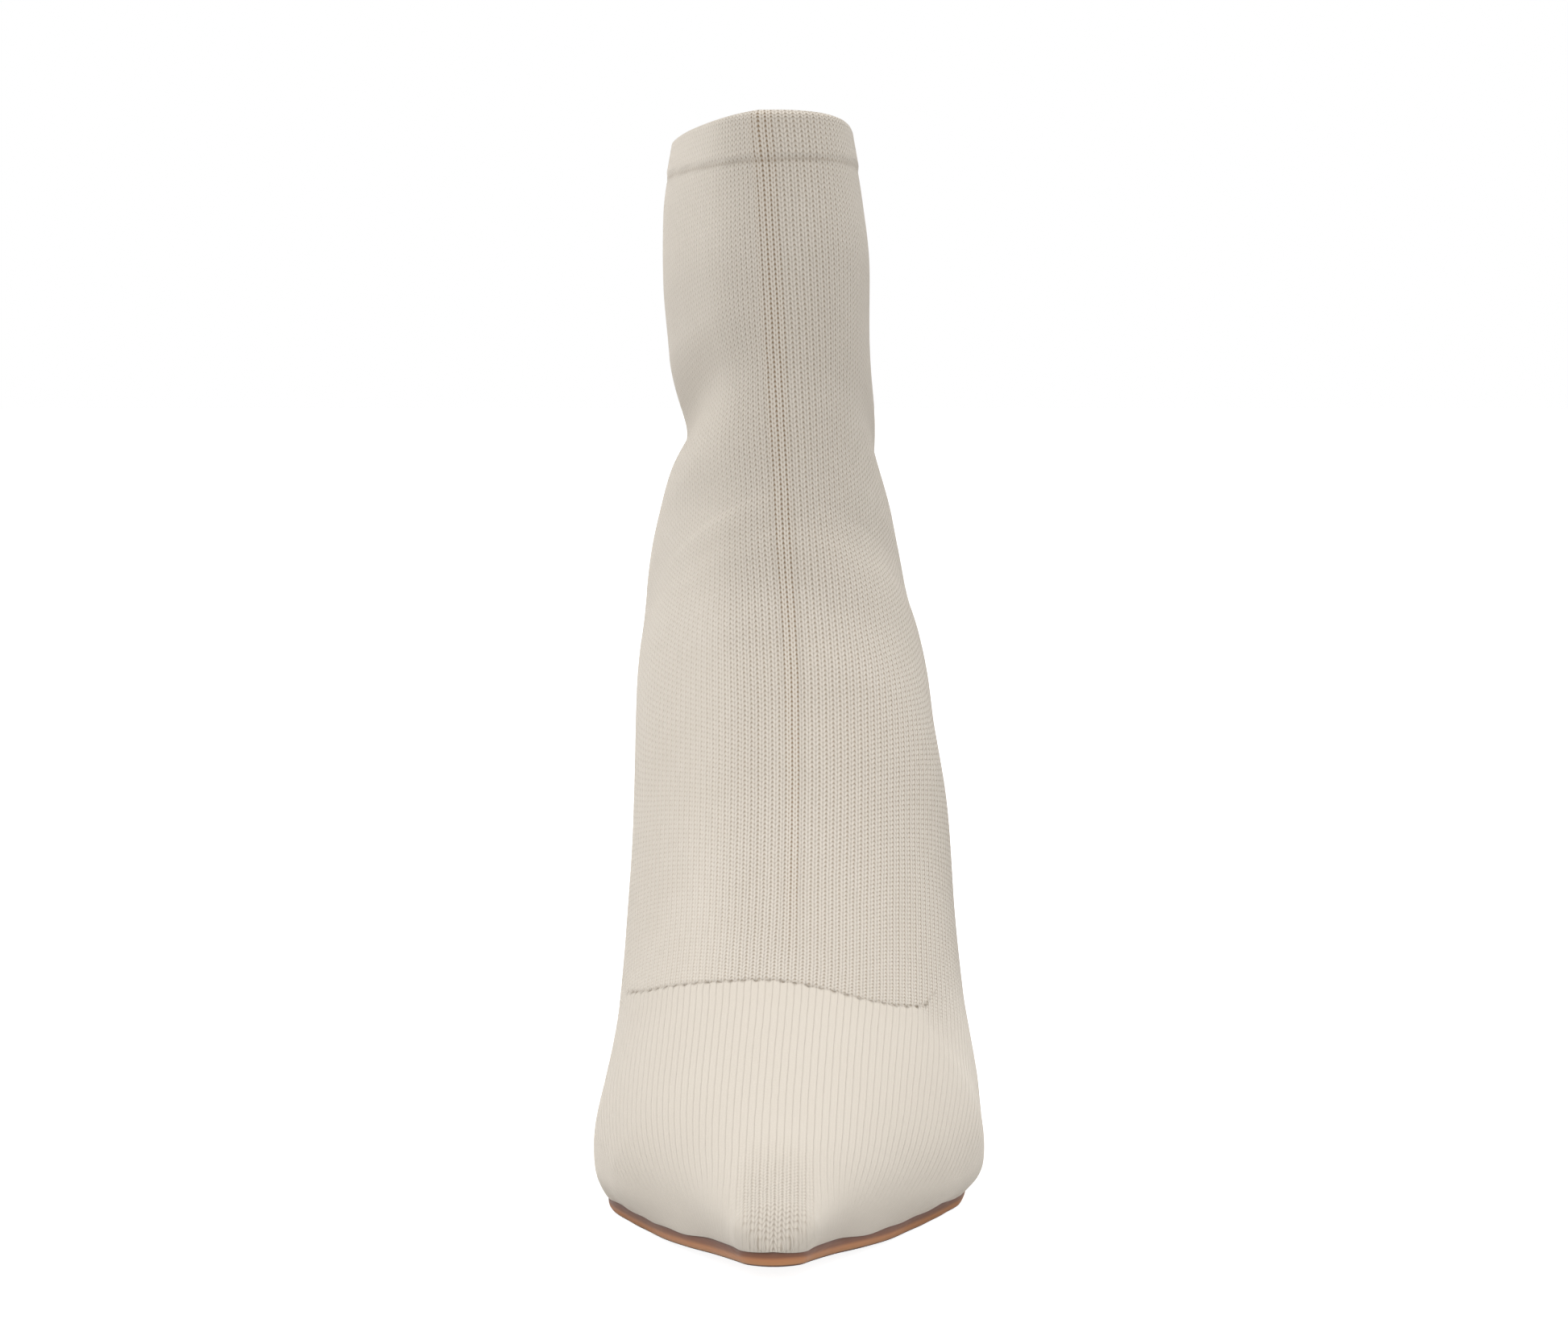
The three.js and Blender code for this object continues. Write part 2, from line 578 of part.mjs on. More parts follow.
const tipFront = soleLength - tipInset - tipLength / 2;
const tipBack = tipFront + tipLength;
const heelColumns = ["half", "breast", "back"].map((key) =>
  column(heelLevels, key, heelLevels.map((row) => row.down)),
);

// One ring round the heel, a share of the way down from its seat to a flat foot at the given height.
function heelRing(down, footUp) {
  const [half, breast, back] = heelColumns.map((curve) => curve(down));
  const frontAt = heelBreast + (tipFront - heelBreast) * breast;
  const backAt = soleLength + (tipBack - soleLength) * back;
  const middle = featherMiddle(soleLength);
  const slim = tipWidth / 2 / featherHalf(soleLength - seatRadius);
  return seatOutline().map(({ x, y, z }) => {
    const share = (y - heelBreast) / (soleLength - heelBreast);
    return new THREE.Vector3(
      middle + (x - middle) * (slim + (1 - slim) * half),
      frontAt + (backAt - frontAt) * share,
      z + (footUp - z) * down,
    );
  });
}

function heelGeometry() {
  return loft(heelStations.map((down) => heelRing(down, tipThickness + fit)));
}

function heelTipGeometry() {
  const ring = (up) => heelRing(1, up);
  return loft([ring(0), ring(tipThickness)]);
}

const material = (name, color, roughness) => new THREE.MeshStandardMaterial({ name, color, roughness });
const knit = material("knit", 0xd8d0c3, 0.95);
const lining = material("lining", 0xcdbfa9, 0.7);
const tan = material("tan", 0xa96f4c, 0.42);
const cover = material("cover", 0xd5ccbe, 0.6);
const rubber = material("rubber", 0x8c6446, 0.55);

function piece(name, geometry, finish) {
  const mesh = new THREE.Mesh(geometry, finish);
  mesh.name = name;
  return mesh;
}

const boot = new THREE.Group();
boot.add(
  piece("upper", upperGeometry(), knit),
  piece("insole", insoleGeometry(), lining),
  piece("outsole", outsoleGeometry(), tan),
  piece("heel", heelGeometry(), cover),
  piece("heel_tip", heelTipGeometry(), rubber),
);

// The boot's origin is on the floor, under the middle of its bounding box.
const centre = new THREE.Box3().setFromObject(boot).getCenter(new THREE.Vector3());
boot.position.set(-centre.x, -centre.y, 0);

export default boot;
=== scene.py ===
# %% [markdown]
# A pull-on knitted boot for the left foot, dressed over its CAD frame. The CAD part has the true form of
# the last. This script adds what is too fine for it: the stitches, the cast-on seam over the toe, the
# turned hem, the soft creases of a slack sock, and the look of each material. Everything is in metres, in
# the same frame as the CAD part: toe towards -Y, outer side towards +X, +Z up.

# %% Load the frame
import math

import bmesh
import bpy
import numpy as np
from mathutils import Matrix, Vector


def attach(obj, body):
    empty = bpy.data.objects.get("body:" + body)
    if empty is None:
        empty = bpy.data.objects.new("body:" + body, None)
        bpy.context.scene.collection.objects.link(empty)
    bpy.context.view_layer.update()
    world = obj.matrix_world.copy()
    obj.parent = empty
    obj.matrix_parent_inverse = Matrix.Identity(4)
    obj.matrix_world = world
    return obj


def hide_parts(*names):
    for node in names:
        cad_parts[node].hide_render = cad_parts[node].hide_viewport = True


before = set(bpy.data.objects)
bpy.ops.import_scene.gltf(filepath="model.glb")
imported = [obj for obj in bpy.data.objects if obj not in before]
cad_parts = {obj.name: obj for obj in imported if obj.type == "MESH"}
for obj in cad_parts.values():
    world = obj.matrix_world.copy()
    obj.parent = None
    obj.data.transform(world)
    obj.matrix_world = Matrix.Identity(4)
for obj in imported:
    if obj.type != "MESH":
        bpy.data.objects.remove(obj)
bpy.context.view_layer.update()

mm = 0.001
print("nodes", sorted(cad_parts))

# %% [markdown]
# The camera comes first, because every later choice is judged through it. The boot was photographed from
# the front with a long lens, from nearly a metre away and a little above the collar's middle. A long lens
# keeps the toe from swelling, and the small pitch brings the boot into the frame with no shift.

# %% Camera
camera_place = Vector((-1.1, -1064.9, 215)) * mm
camera_pitch = 5.53  # degrees below the horizon
lens = 111.5  # on a sensor 36 mm wide

camera_data = bpy.data.cameras.new("camera")
camera_data.lens = lens
camera_data.sensor_width = 36
camera_data.clip_start = 0.05
camera_data.clip_end = 50
camera = bpy.data.objects.new("camera", camera_data)
camera.location = camera_place
camera.rotation_euler = (math.radians(90 - camera_pitch), 0, 0)
bpy.context.scene.collection.objects.link(camera)
bpy.context.scene.camera = camera
print("camera", tuple(round(c, 3) for c in camera_place))

# %% [markdown]
# A sock has no flat faces and no seams to build from, so its surface is worked out from a few sections,
# just as a last maker does. Each section stands on the feather edge, where knit and sole meet, and leans
# forward to the crest of the foot or the front of the shaft. Subdivision could round a coarse cage too,
# but a formula keeps the visual surface exactly on the CAD one, and gives an even grid for the stitches
# to follow.

# %% Driving sizes, as in the CAD part
sole_length = 226 * mm
sole_width = 76 * mm
heel_height = 93 * mm
toe_spring = 4 * mm
ball_width = 84 * mm
ball_height = 46 * mm
heel_bulge = 4 * mm
shaft_height = 139 * mm
collar_depth = 103 * mm
collar_width = 46 * mm
wall = 2 * mm
hem_height = 11 * mm
hem_step = 0.4 * mm
nose_radius = 5.5 * mm
seat_radius = 28 * mm
outsole_thickness = 3.5 * mm
insole_thickness = 2.2 * mm
insole_ease = 0.6 * mm
heel_breast = 176 * mm
tip_length = 10.5 * mm
tip_width = 10 * mm
tip_thickness = 6 * mm
tip_inset = 16 * mm
fit = 0.3 * mm
middle_at = 114.9 * mm  # the frame's origin, behind the toe tip
middle_across = 1.092 * mm  # and beside the last's own axis
print("sole", round(sole_length / mm), "mm long, ball", round(ball_width / mm), "mm wide")


# %% Sole: the underside and the feather edge, as shares of the driving sizes
def table(names, *rows):
    """Columns of a table by name."""
    return dict(zip(names.split(), np.array(rows, float).T))


underside = table(
    "at toe heel",
    (0.0, 1.0, 0),
    (0.045, 0.74, 0),
    (0.09, 0.52, 0),
    (0.135, 0.33, 0),
    (0.18, 0.18, 0),
    (0.225, 0.07, 0),
    (0.265, 0, 0),
    (0.375, 0, 0),
    (0.44, 0, 0.027),
    (0.51, 0, 0.12),
    (0.575, 0, 0.27),
    (0.64, 0, 0.45),
    (0.707, 0, 0.63),
    (0.763, 0, 0.76),
    (0.84, 0, 0.885),
    (0.926, 0, 0.965),
    (1.0, 0, 1.0),
)
feather_edge = table(
    "at half shift",
    (0.0, 0.066, -0.027),
    (0.045, 0.11, -0.028),
    (0.09, 0.168, -0.027),
    (0.135, 0.245, -0.022),
    (0.18, 0.314, -0.018),
    (0.225, 0.366, -0.016),
    (0.27, 0.42, -0.013),
    (0.31, 0.468, -0.01),
    (0.35, 0.497, 0.004),
    (0.395, 0.5, 0.018),
    (0.45, 0.46, 0.034),
    (0.52, 0.39, 0.048),
    (0.62, 0.335, 0.045),
    (0.73, 0.34, 0.03),
    (0.84, 0.366, 0.018),
    (0.92, 0.37, 0.014),
    (1.0, 0.37, 0.014),
)
print("underside", len(underside["at"]), "points, feather edge", len(feather_edge["at"]))

# %% Upper: sections of the foot and of the shaft
foot = table(
    "seat deep tall high inner outer ridge widest round sharp full",
    (0, 0, 0.17, 0, 0.1, 0.056, -0.021, 0.4, 2, 2, 2),
    (0.035, 0.004, 0.22, 0, 0.128, 0.087, -0.021, 0.38, 2, 2, 2),
    (0.089, 0.005, 0.35, 0, 0.192, 0.152, -0.019, 0.34, 2, 2, 2),
    (0.168, 0.011, 0.53, 0, 0.308, 0.286, -0.014, 0.29, 2.2, 2, 2),
    (0.254, 0.012, 0.73, 0, 0.435, 0.43, -0.004, 0.23, 3, 2, 2),
    (0.351, 0.022, 0.965, 0, 0.486, 0.512, 0.01, 0.22, 3, 1.95, 2),
    (0.427, 0.053, 1.115, 0.01, 0.47, 0.508, 0.016, 0.25, 2.7, 1.9, 2.05),
    (0.514, 0.112, 1.035, 0.055, 0.44, 0.478, 0.02, 0.3, 2.2, 1.85, 2.15),
    (0.593, 0.168, 0.82, 0.114, 0.42, 0.456, 0.023, 0.34, 2, 1.8, 2.2),
    (0.672, 0.261, 0.56, 0.167, 0.408, 0.442, 0.022, 0.37, 2.1, 1.75, 2.25),
    (0.761, 0.404, 0.33, 0.2, 0.405, 0.412, 0.016, 0.39, 2.3, 1.7, 2.2),
    (0.841, 0.554, 0.16, 0.249, 0.405, 0.398, 0.008, 0.39, 2.5, 1.7, 2.1),
    (0.907, 0.687, 0.06, 0.304, 0.402, 0.38, 0.001, 0.38, 2.7, 1.65, 2),
    (0.957, 0.791, 0.02, 0.346, 0.397, 0.362, -0.003, 0.37, 2.8, 1.6, 1.95),
    (1, 0.885, 0, 0.386, 0.39, 0.349, -0.006, 0.375, 2.5, 1.6, 1.95),
)
shaft = table(
    "back low high deep inner outer ridge widest round sharp full",
    (0.5, 0.045, 0.426, 0.904, 0.7, 0.609, -0.018, 0.385, 2.3, 1.6, 2),
    (0.9, 0.125, 0.48, 0.921, 0.66, 0.548, -0.027, 0.4, 2.2, 1.6, 2.15),
    (0.95, 0.235, 0.545, 0.928, 0.591, 0.489, -0.038, 0.42, 2.1, 1.6, 2.45),
    (0.3, 0.36, 0.62, 0.915, 0.507, 0.45, -0.05, 0.44, 2, 1.6, 2.8),
    (-0.37, 0.495, 0.703, 0.905, 0.583, 0.43, -0.063, 0.455, 2, 1.55, 3.1),
    (-0.55, 0.635, 0.797, 0.918, 0.615, 0.422, -0.08, 0.46, 2, 1.5, 3.3),
    (0, 0.775, 0.893, 0.955, 0.609, 0.389, -0.097, 0.46, 2, 1.42, 3.4),
    (0.7, 0.915, 0.995, 1, 0.556, 0.33, -0.123, 0.46, 2, 1.36, 3.6),
)
print("sections", len(foot["seat"]), "of the foot and", len(shaft["back"]), "of the shaft")


# %% A smooth curve through a column
def column(places, values):
    """A smooth curve with no overshoot between its points. It takes a number or an array."""
    places, values = np.asarray(places, float), np.asarray(values, float)
    steps = np.diff(values) / np.diff(places)
    product = steps[:-1] * steps[1:]
    total = np.where(product > 0, steps[:-1] + steps[1:], 1)
    slopes = np.concatenate([steps[:1], np.where(product > 0, 2 * product / total, 0), steps[-1:]])

    def at(place):
        place = np.asarray(place, float)
        i = np.clip(np.searchsorted(places, place, side="left") - 1, 0, len(steps) - 1)
        span = places[i + 1] - places[i]
        t = np.clip((place - places[i]) / span, 0, 1)
        return (
            values[i] * (1 + 2 * t) * (1 - t) ** 2
            + slopes[i] * span * t * (1 - t) ** 2
            + values[i + 1] * t * t * (3 - 2 * t)
            + slopes[i + 1] * span * t * t * (t - 1)
        )

    return at


def smooth(low, high, value):
    """0 below low, 1 above high, and a soft step between."""
    t = np.clip((np.asarray(value, float) - low) / (high - low), 0, 1)
    return t * t * (3 - 2 * t)


print("between 1 and 4 a column gives", round(float(column([0, 1, 2], [0, 1, 4])(1.5)), 2))

# %% Heights of the sole's layers, and the feather edge
toe_share = column(underside["at"], underside["toe"])
heel_share = column(underside["at"], underside["heel"])
half_share = column(feather_edge["at"], feather_edge["half"])
shift_share = column(feather_edge["at"], feather_edge["shift"])
slope_step = 1 * mm


def underside_up(at):
    return toe_share(at / sole_length) * toe_spring + heel_share(at / sole_length) * heel_height


def layer_up(at, thickness):
    """Height of a layer over the underside. It keeps its thickness where the sole climbs."""
    climb = (underside_up(at + slope_step) - underside_up(at - slope_step)) / (2 * slope_step)
    return underside_up(at) + thickness * np.hypot(1, climb)


def feather_up(at):
    return layer_up(at, outsole_thickness + fit)


def end_arc(distance, radius):
    """1 away from a rounded end, falling to 0 at its very tip as an arc does."""
    return np.sqrt(np.clip(1 - np.clip(1 - distance / radius, 0, 1) ** 2, 0, 1))


def feather_middle(at):
    return shift_share(at / sole_length) * sole_width


def feather_half(at):
    ends = end_arc(at, nose_radius) * end_arc(sole_length - at, seat_radius)
    return half_share(at / sole_length) * sole_width * ends


print("seat", round(float(feather_up(sole_length)) / mm, 1), "mm up")

# %% Sections in metres, as smooth columns
seat_up = float(feather_up(sole_length))
foot_back = foot["seat"] * sole_length
shaft_back = sole_length + shaft["back"] * heel_bulge
foot_up = feather_up(foot_back)
shaft_up = seat_up + shaft["low"] * shaft_height
foot_crest_up = foot_up + foot["tall"] * ball_height + foot["high"] * shaft_height
shaft_crest_up = seat_up + shaft["high"] * shaft_height
shaft_middle = feather_middle(sole_length) + shaft["ridge"] * collar_width

seat_section = len(foot_back) - 1
top_section = seat_section + len(shaft_back)
places = np.arange(top_section + 1)


def both(name, foot_scale=1.0, shaft_scale=1.0):
    return column(places, np.concatenate([foot[name] * foot_scale, shaft[name] * shaft_scale]))


def in_two_parts(foot_values, shaft_values):
    """The backs of the sections run along the seat and then turn sharply upwards."""
    along = column(places[: seat_section + 1], foot_values)
    upwards = column(places[seat_section:], np.concatenate([foot_values[-1:], shaft_values]))
    return lambda place: np.where(place <= seat_section, along(place), upwards(place))


section_curves = {
    "back_at": in_two_parts(foot_back, shaft_back),
    "back_up": in_two_parts(foot_up, shaft_up),
    "crest_at": column(
        places,
        np.concatenate([foot_back - foot["deep"] * collar_depth, shaft_back - shaft["deep"] * collar_depth]),
    ),
    "crest_up": column(places, np.concatenate([foot_crest_up, shaft_crest_up])),
    "inner": both("inner", -ball_width, -collar_width),
    "outer": both("outer", ball_width, collar_width),
    "ridge": both("ridge", ball_width, collar_width),
    "middle": column(places, np.concatenate([feather_middle(foot_back), shaft_middle])),
    "widest": both("widest"),
    "round": both("round"),
    "sharp": both("sharp"),
    "full": both("full"),
}
print("sections in all", top_section + 1)


# %% A section at any place, with the nose rounded
def section_at(place):
    """The section's values as columns, one row for each place."""
    place = np.atleast_1d(np.asarray(place, float))
    section = {name: curve(place) for name, curve in section_curves.items()}
    on_sole = place <= seat_section
    at = np.minimum(section["back_at"], sole_length)
    nose = np.where(on_sole, end_arc(section["back_at"], nose_radius), 1)
    section["back_up"] = np.where(on_sole, feather_up(at), section["back_up"])
    section["crest_up"] = section["back_up"] + (section["crest_up"] - section["back_up"]) * nose
    section["middle"] = np.where(on_sole, feather_middle(at), section["middle"])
    for name in ("inner", "outer", "ridge"):
        section[name] = section["middle"] + (section[name] - section["middle"]) * nose
    section["feather"] = np.where(on_sole, feather_half(at), 0)
    return {name: values[:, None] for name, values in section.items()}


ball_place = 5
ball_feather = float(section_at(ball_place)["feather"][0, 0])
print("feather edge", round(2 * ball_feather / mm, 1), "mm wide near the ball")

# %% The curve of a section
most_tucked_in = 0.97  # the feather edge's reach, as a share of the widest place's
smallest = 1e-9


def section_points(section, side, turn):
    """Points of the sections at each turn: 0 at the feather edge, 1 at the widest place, 2 at the crest."""
    side_x = section["inner"] if side < 0 else section["outer"]
    reach = np.maximum(np.abs(side_x - section["middle"]), smallest)
    power = 2 / section["round"]
    tucked = np.minimum(most_tucked_in, section["feather"] / reach)
    start = np.arcsin(np.maximum(tucked, 0) ** (1 / power))
    angle = start + (np.pi / 2 - start) * np.minimum(turn, 1)
    scale = np.where(section["feather"] > 0, section["feather"] / np.maximum(tucked, smallest), reach)
    spread = scale + (reach - scale) * np.minimum(turn, 1)
    low_x = section["middle"] + side * spread * np.sin(angle) ** power
    falling = np.clip(np.cos(angle) / np.maximum(np.cos(start), smallest), 0, 1)
    low_share = section["widest"] * (1 - falling**power)

    over = np.pi / 2 * np.clip(turn - 1, 0, 1)
    power = 2 / (section["sharp"] if side < 0 else section["full"])
    high_x = section["ridge"] + (side_x - section["ridge"]) * np.clip(np.cos(over), 0, 1) ** power
    high_share = section["widest"] + (1 - section["widest"]) * np.sin(over) ** power

    x = np.where(turn <= 1, low_x, high_x)
    share = np.where(turn <= 1, low_share, high_share)
    at = section["back_at"] + (section["crest_at"] - section["back_at"]) * share
    up = section["back_up"] + (section["crest_up"] - section["back_up"]) * share
    return np.stack([x, at, up], axis=-1)


ball_crest = section_points(section_at(ball_place), 1, np.array([[2.0]]))[0, 0]
print("crest", round(float(ball_crest[2]) / mm), "mm up near the ball")

# %% [markdown]
# Behind the seat the sections turn sharply from the sole up into the shaft. Left alone, that leaves a
# crease in the knit which a real sock doesn't have, so the surface there runs in one smooth curve from
# the section before the seat's back edge to the one after it, fading in above the feather edge.

# %% The plain surface
place_step = 0.02
smooth_reach = 1  # sections, before the seat's back edge and after it
smooth_from = 0.6  # the turn at which the smooth curve has taken over


def surface(place, side, turn):
    """Points of the plain surface for each place (rows) and turn (columns)."""
    place, turn = np.atleast_1d(place), np.atleast_1d(turn)
    points = section_points(section_at(place), side, turn[None, :])
    first, last = seat_section - smooth_reach, seat_section + smooth_reach
    near = (place > first) & (place < last)
    if near.any():
        ends = section_points(
            section_at([first - place_step, first, last, last + place_step]), side, turn[None, :]
        )
        leaving = (ends[1] - ends[0]) * (last - first) / place_step
        arriving = (ends[3] - ends[2]) * (last - first) / place_step
        ahead = ((place[near] - first) / (last - first))[:, None, None]
        eased = (
            ends[1] * (1 + 2 * ahead) * (1 - ahead) ** 2
            + leaving * ahead * (1 - ahead) ** 2
            + ends[2] * ahead**2 * (3 - 2 * ahead)
            + arriving * ahead**2 * (ahead - 1)
        )
        share = smooth(0, smooth_from, turn)[None, :, None]
        points[near] = points[near] * (1 - share) + eased * share
    return points


print("collar", round(float(surface(top_section, 1, 2.0)[0, 0, 2]) / mm), "mm up in front")

# %% [markdown]
# The stitches follow the grid of the surface, so its points are spaced evenly: first along the boot, so
# that no row is far from the next at the crest or along the sole, and then around it, by the distance
# from the crest. Near the crest they lie closer together, where the raised rib of stitches runs down the
# front.

# %% An even grid over the upper
row_count = 330
near_crest = 7 * mm  # where the points lie closest, on each side of the crest
near_count = 18
side_count = 118  # points on each side of the crest
fine_count = 4401  # places tried along the boot
fine_turns = 2 - np.linspace(0, 1, 260) ** 1.15 * 2  # and turns tried around it, closer at the crest


def even_places():
    """Places of the rows, evenly spaced by the longer of the crest's and the back's path."""
    fine = np.linspace(0, top_section, fine_count)
    section = section_at(fine)
    crest = np.hypot(np.gradient(section["crest_at"][:, 0]), np.gradient(section["crest_up"][:, 0]))
    back = np.hypot(np.gradient(section["back_at"][:, 0]), np.gradient(section["back_up"][:, 0]))
    path = np.cumsum(np.maximum(np.maximum(crest, back), 1e-7))
    return np.interp(np.linspace(path[0], path[-1], row_count), path, fine)


def around_shares(length):
    """Distances from the crest for one side of a row of the given length."""
    near = np.minimum(near_crest, length * near_count / side_count)
    first = np.linspace(0, 1, near_count + 1)[1:]
    rest = np.linspace(0, 1, side_count - near_count + 1)[1:]
    return np.concatenate([near * first, near + (length - near) * rest])


def half_grid(rows, side):
    """One side of the grid, from the crest down, with each point's distance from the crest."""
    points = surface(rows, side, fine_turns)
    lengths = np.linalg.norm(np.diff(points, axis=1), axis=2)
    travelled = np.concatenate([np.zeros((len(rows), 1)), np.cumsum(lengths, axis=1)], axis=1)
    grid, distance = [], []
    for row, path in zip(points, travelled):
        wanted = around_shares(path[-1])
        grid.append(np.stack([np.interp(wanted, path, row[:, k]) for k in range(3)], axis=1))
        distance.append(wanted)
    return np.array(grid), np.array(distance)


rows = even_places()
inner_points, inner_around = half_grid(rows, -1)
outer_points, outer_around = half_grid(rows, 1)
crest_points = surface(rows, 1, [2.0])
plain = np.concatenate([inner_points[:, ::-1], crest_points, outer_points], axis=1)
around = np.concatenate([-inner_around[:, ::-1], np.zeros((row_count, 1)), outer_around], axis=1)
print("grid", plain.shape[:2], "widest row", round(float(np.ptp(around, axis=1).max()) / mm), "mm around")

# %% [markdown]
# The relief of the knit is worked out before any mesh is made, as one height over the plain surface at
# each point of the grid. Displacing the grid itself, instead of adding a modifier, lets the same numbers
# drive the colours later: a groove that is deep is also a groove that is dark, with painted shade in
# its colour.

# %% Where each point of the grid lies
row_at = plain[..., 1]
crest_steps = np.linalg.norm(np.diff(crest_points[:, 0], axis=0), axis=1)
along = np.concatenate([[0], np.cumsum(crest_steps)])[:, None] * np.ones_like(around)
row_place = rows[:, None] * np.ones_like(around)
below_collar = plain[-1:, :, 2] - plain[..., 2]
print("crest", round(float(along.max()) / mm), "mm long")

# %% The seam over the toe
# It crosses the foot in an arch, from the ball's inner side to the outer one. around is measured from the
# crest, towards the outer side, and behind is a share of the sole's length.
toe_seam = table(
    "around behind",
    (-60 * mm, 0.53),
    (-47 * mm, 0.467),
    (-35 * mm, 0.414),
    (-22 * mm, 0.375),
    (-12 * mm, 0.356),
    (-2 * mm, 0.347),
    (6 * mm, 0.341),
    (14 * mm, 0.338),
    (22 * mm, 0.346),
    (31 * mm, 0.374),
    (37 * mm, 0.422),
    (50 * mm, 0.52),
)
seam_ends = {"inner": -51 * mm, "outer": 38 * mm, "fade": 9 * mm}
seam_groove = 0.35 * mm
seam_half_width = 0.55 * mm
toe_bulge = 0.45 * mm  # the toe section, knitted tighter, stands proud of the vamp just below its seam
toe_bulge_reach = 7 * mm

seam_behind = column(toe_seam["around"], toe_seam["behind"])
past_seam = row_at - seam_behind(around) * sole_length
seam_share = smooth(seam_ends["inner"], seam_ends["inner"] + seam_ends["fade"], around) * (
    1 - smooth(seam_ends["outer"] - seam_ends["fade"], seam_ends["outer"], around)
)
front = past_seam <= 0
seam_relief = -seam_groove * np.exp(-((past_seam / seam_half_width) ** 2)) * seam_share
seam_relief += np.where(front, toe_bulge * np.exp(past_seam / toe_bulge_reach), 0) * seam_share
print("seam crosses", int((seam_share[np.abs(past_seam) < 1 * mm] > 0).sum()), "points of the grid")

# %% The rib down the front, and the turned hem
rib_low, rib_high = (7.5, 1.7 * mm), (18, 3.0 * mm)  # a section, and half the rib's width there
rib_wale = 1.4 * mm
rib_shoulder = 0.5 * mm
rib_rise = 0.3 * mm
rib_none, rib_whole = 5.2, 6.6  # sections over which it fades in behind the toe
hem_groove = 0.11 * mm
hem_groove_half = 0.5 * mm
hem_soft = 0.8 * mm

rib_half = np.interp(row_place, [rib_low[0], rib_high[0]], [rib_low[1], rib_high[1]])
rib_share = np.clip((row_place - rib_none) / (rib_whole - rib_none), 0, 1)
rib_mask = (1 - smooth(rib_half - rib_shoulder, rib_half, np.abs(around))) * rib_share
rib_relief = rib_rise * rib_mask
hem_rise = table(
    "around rise",
    (-60 * mm, 2.2 * mm),
    (-35 * mm, 1.2 * mm),
    (0, 0),
    (25 * mm, 1.0 * mm),
    (45 * mm, 2.0 * mm),
)
hem_here = hem_height - np.interp(around, hem_rise["around"], hem_rise["rise"])
over_hem = hem_here - below_collar
hem_relief = hem_step * smooth(0, hem_soft, over_hem)
hem_relief -= hem_groove * np.exp(-((over_hem / hem_groove_half) ** 2))
print("hem", round(hem_height / mm), "mm, rib", round(float(2 * rib_half.max() / mm), 1), "mm wide")

# %% [markdown]
# A slack sock falls in a few soft folds where it bends at the ankle, and nowhere else. Each one is given
# as a trough or a ridge: where its middle lies, how far it runs, how wide it is, how it slants and how
# deep it is. Cloth simulation would fold the shaft anew on every change, while these stay where the
# photograph has them.

# %% Soft folds, given one by one
# section is the place along the boot, and around the distance from the crest. Both lengths are along the
# skin, slant is in degrees from straight across the boot, and rise is below zero for a trough.
folds = table(
    "section around reach half slant rise",
    (17.7, -50 * mm, 26 * mm, 7 * mm, 4, -1.1 * mm),
    (18.4, -46 * mm, 24 * mm, 9 * mm, -6, 0.6 * mm),
    (16.6, -40 * mm, 30 * mm, 9 * mm, 10, 0.7 * mm),
    (15.2, -34 * mm, 26 * mm, 7 * mm, 14, -0.6 * mm),
    (13.3, -22 * mm, 18 * mm, 9 * mm, 8, 0.5 * mm),
    (11.2, -9 * mm, 26 * mm, 8 * mm, 12, -0.55 * mm),
    (13.9, 36 * mm, 20 * mm, 7 * mm, -12, -0.5 * mm),
    (12.2, 30 * mm, 26 * mm, 10 * mm, -16, 0.3 * mm),
    (10.6, 22 * mm, 24 * mm, 8 * mm, -20, -0.45 * mm),
    (9.5, 8 * mm, 22 * mm, 9 * mm, -10, 0.35 * mm),
    (8.4, 14 * mm, 26 * mm, 9 * mm, -14, 0.35 * mm),
    (17.2, 62 * mm, 34 * mm, 7 * mm, 6, -1.0 * mm),
    (16.2, 70 * mm, 30 * mm, 8 * mm, -4, 0.8 * mm),
    (18.3, 84 * mm, 30 * mm, 8 * mm, -8, 0.7 * mm),
    (17.4, -92 * mm, 32 * mm, 7 * mm, -5, -0.9 * mm),
    (16.1, -84 * mm, 30 * mm, 8 * mm, 6, 0.7 * mm),
    (19.6, -70 * mm, 26 * mm, 12 * mm, 3, -0.5 * mm),
    (20.2, 52 * mm, 30 * mm, 12 * mm, -4, 0.4 * mm),
    (7.2, -30 * mm, 20 * mm, 10 * mm, 22, -0.3 * mm),
)


def fold_relief():
    """The height of all the folds together, as soft bells drawn out along their length."""
    total = np.zeros_like(around)
    for section, place_around, reach, half, slant, rise in zip(*folds.values()):
        row = int(np.argmin(np.abs(rows - section)))
        sideways = around - place_around
        lengthways = side_path[:, None] - side_path[row]
        turn = math.radians(slant)
        across_fold = lengthways * math.cos(turn) + sideways * math.sin(turn)
        along_fold = sideways * math.cos(turn) - lengthways * math.sin(turn)
        total += rise * np.exp(-((across_fold / half) ** 2) - (along_fold / reach) ** 2)
    return total


side_steps = np.linalg.norm(np.diff(plain[:, side_count // 2], axis=0), axis=1)
side_path = np.concatenate([[0], np.cumsum(side_steps)])
soft_relief = fold_relief()
deepest, highest = round(float(soft_relief.min()) / mm, 2), round(float(soft_relief.max()) / mm, 2)
print("folds", len(folds["rise"]), "from", deepest, "to", highest, "mm")

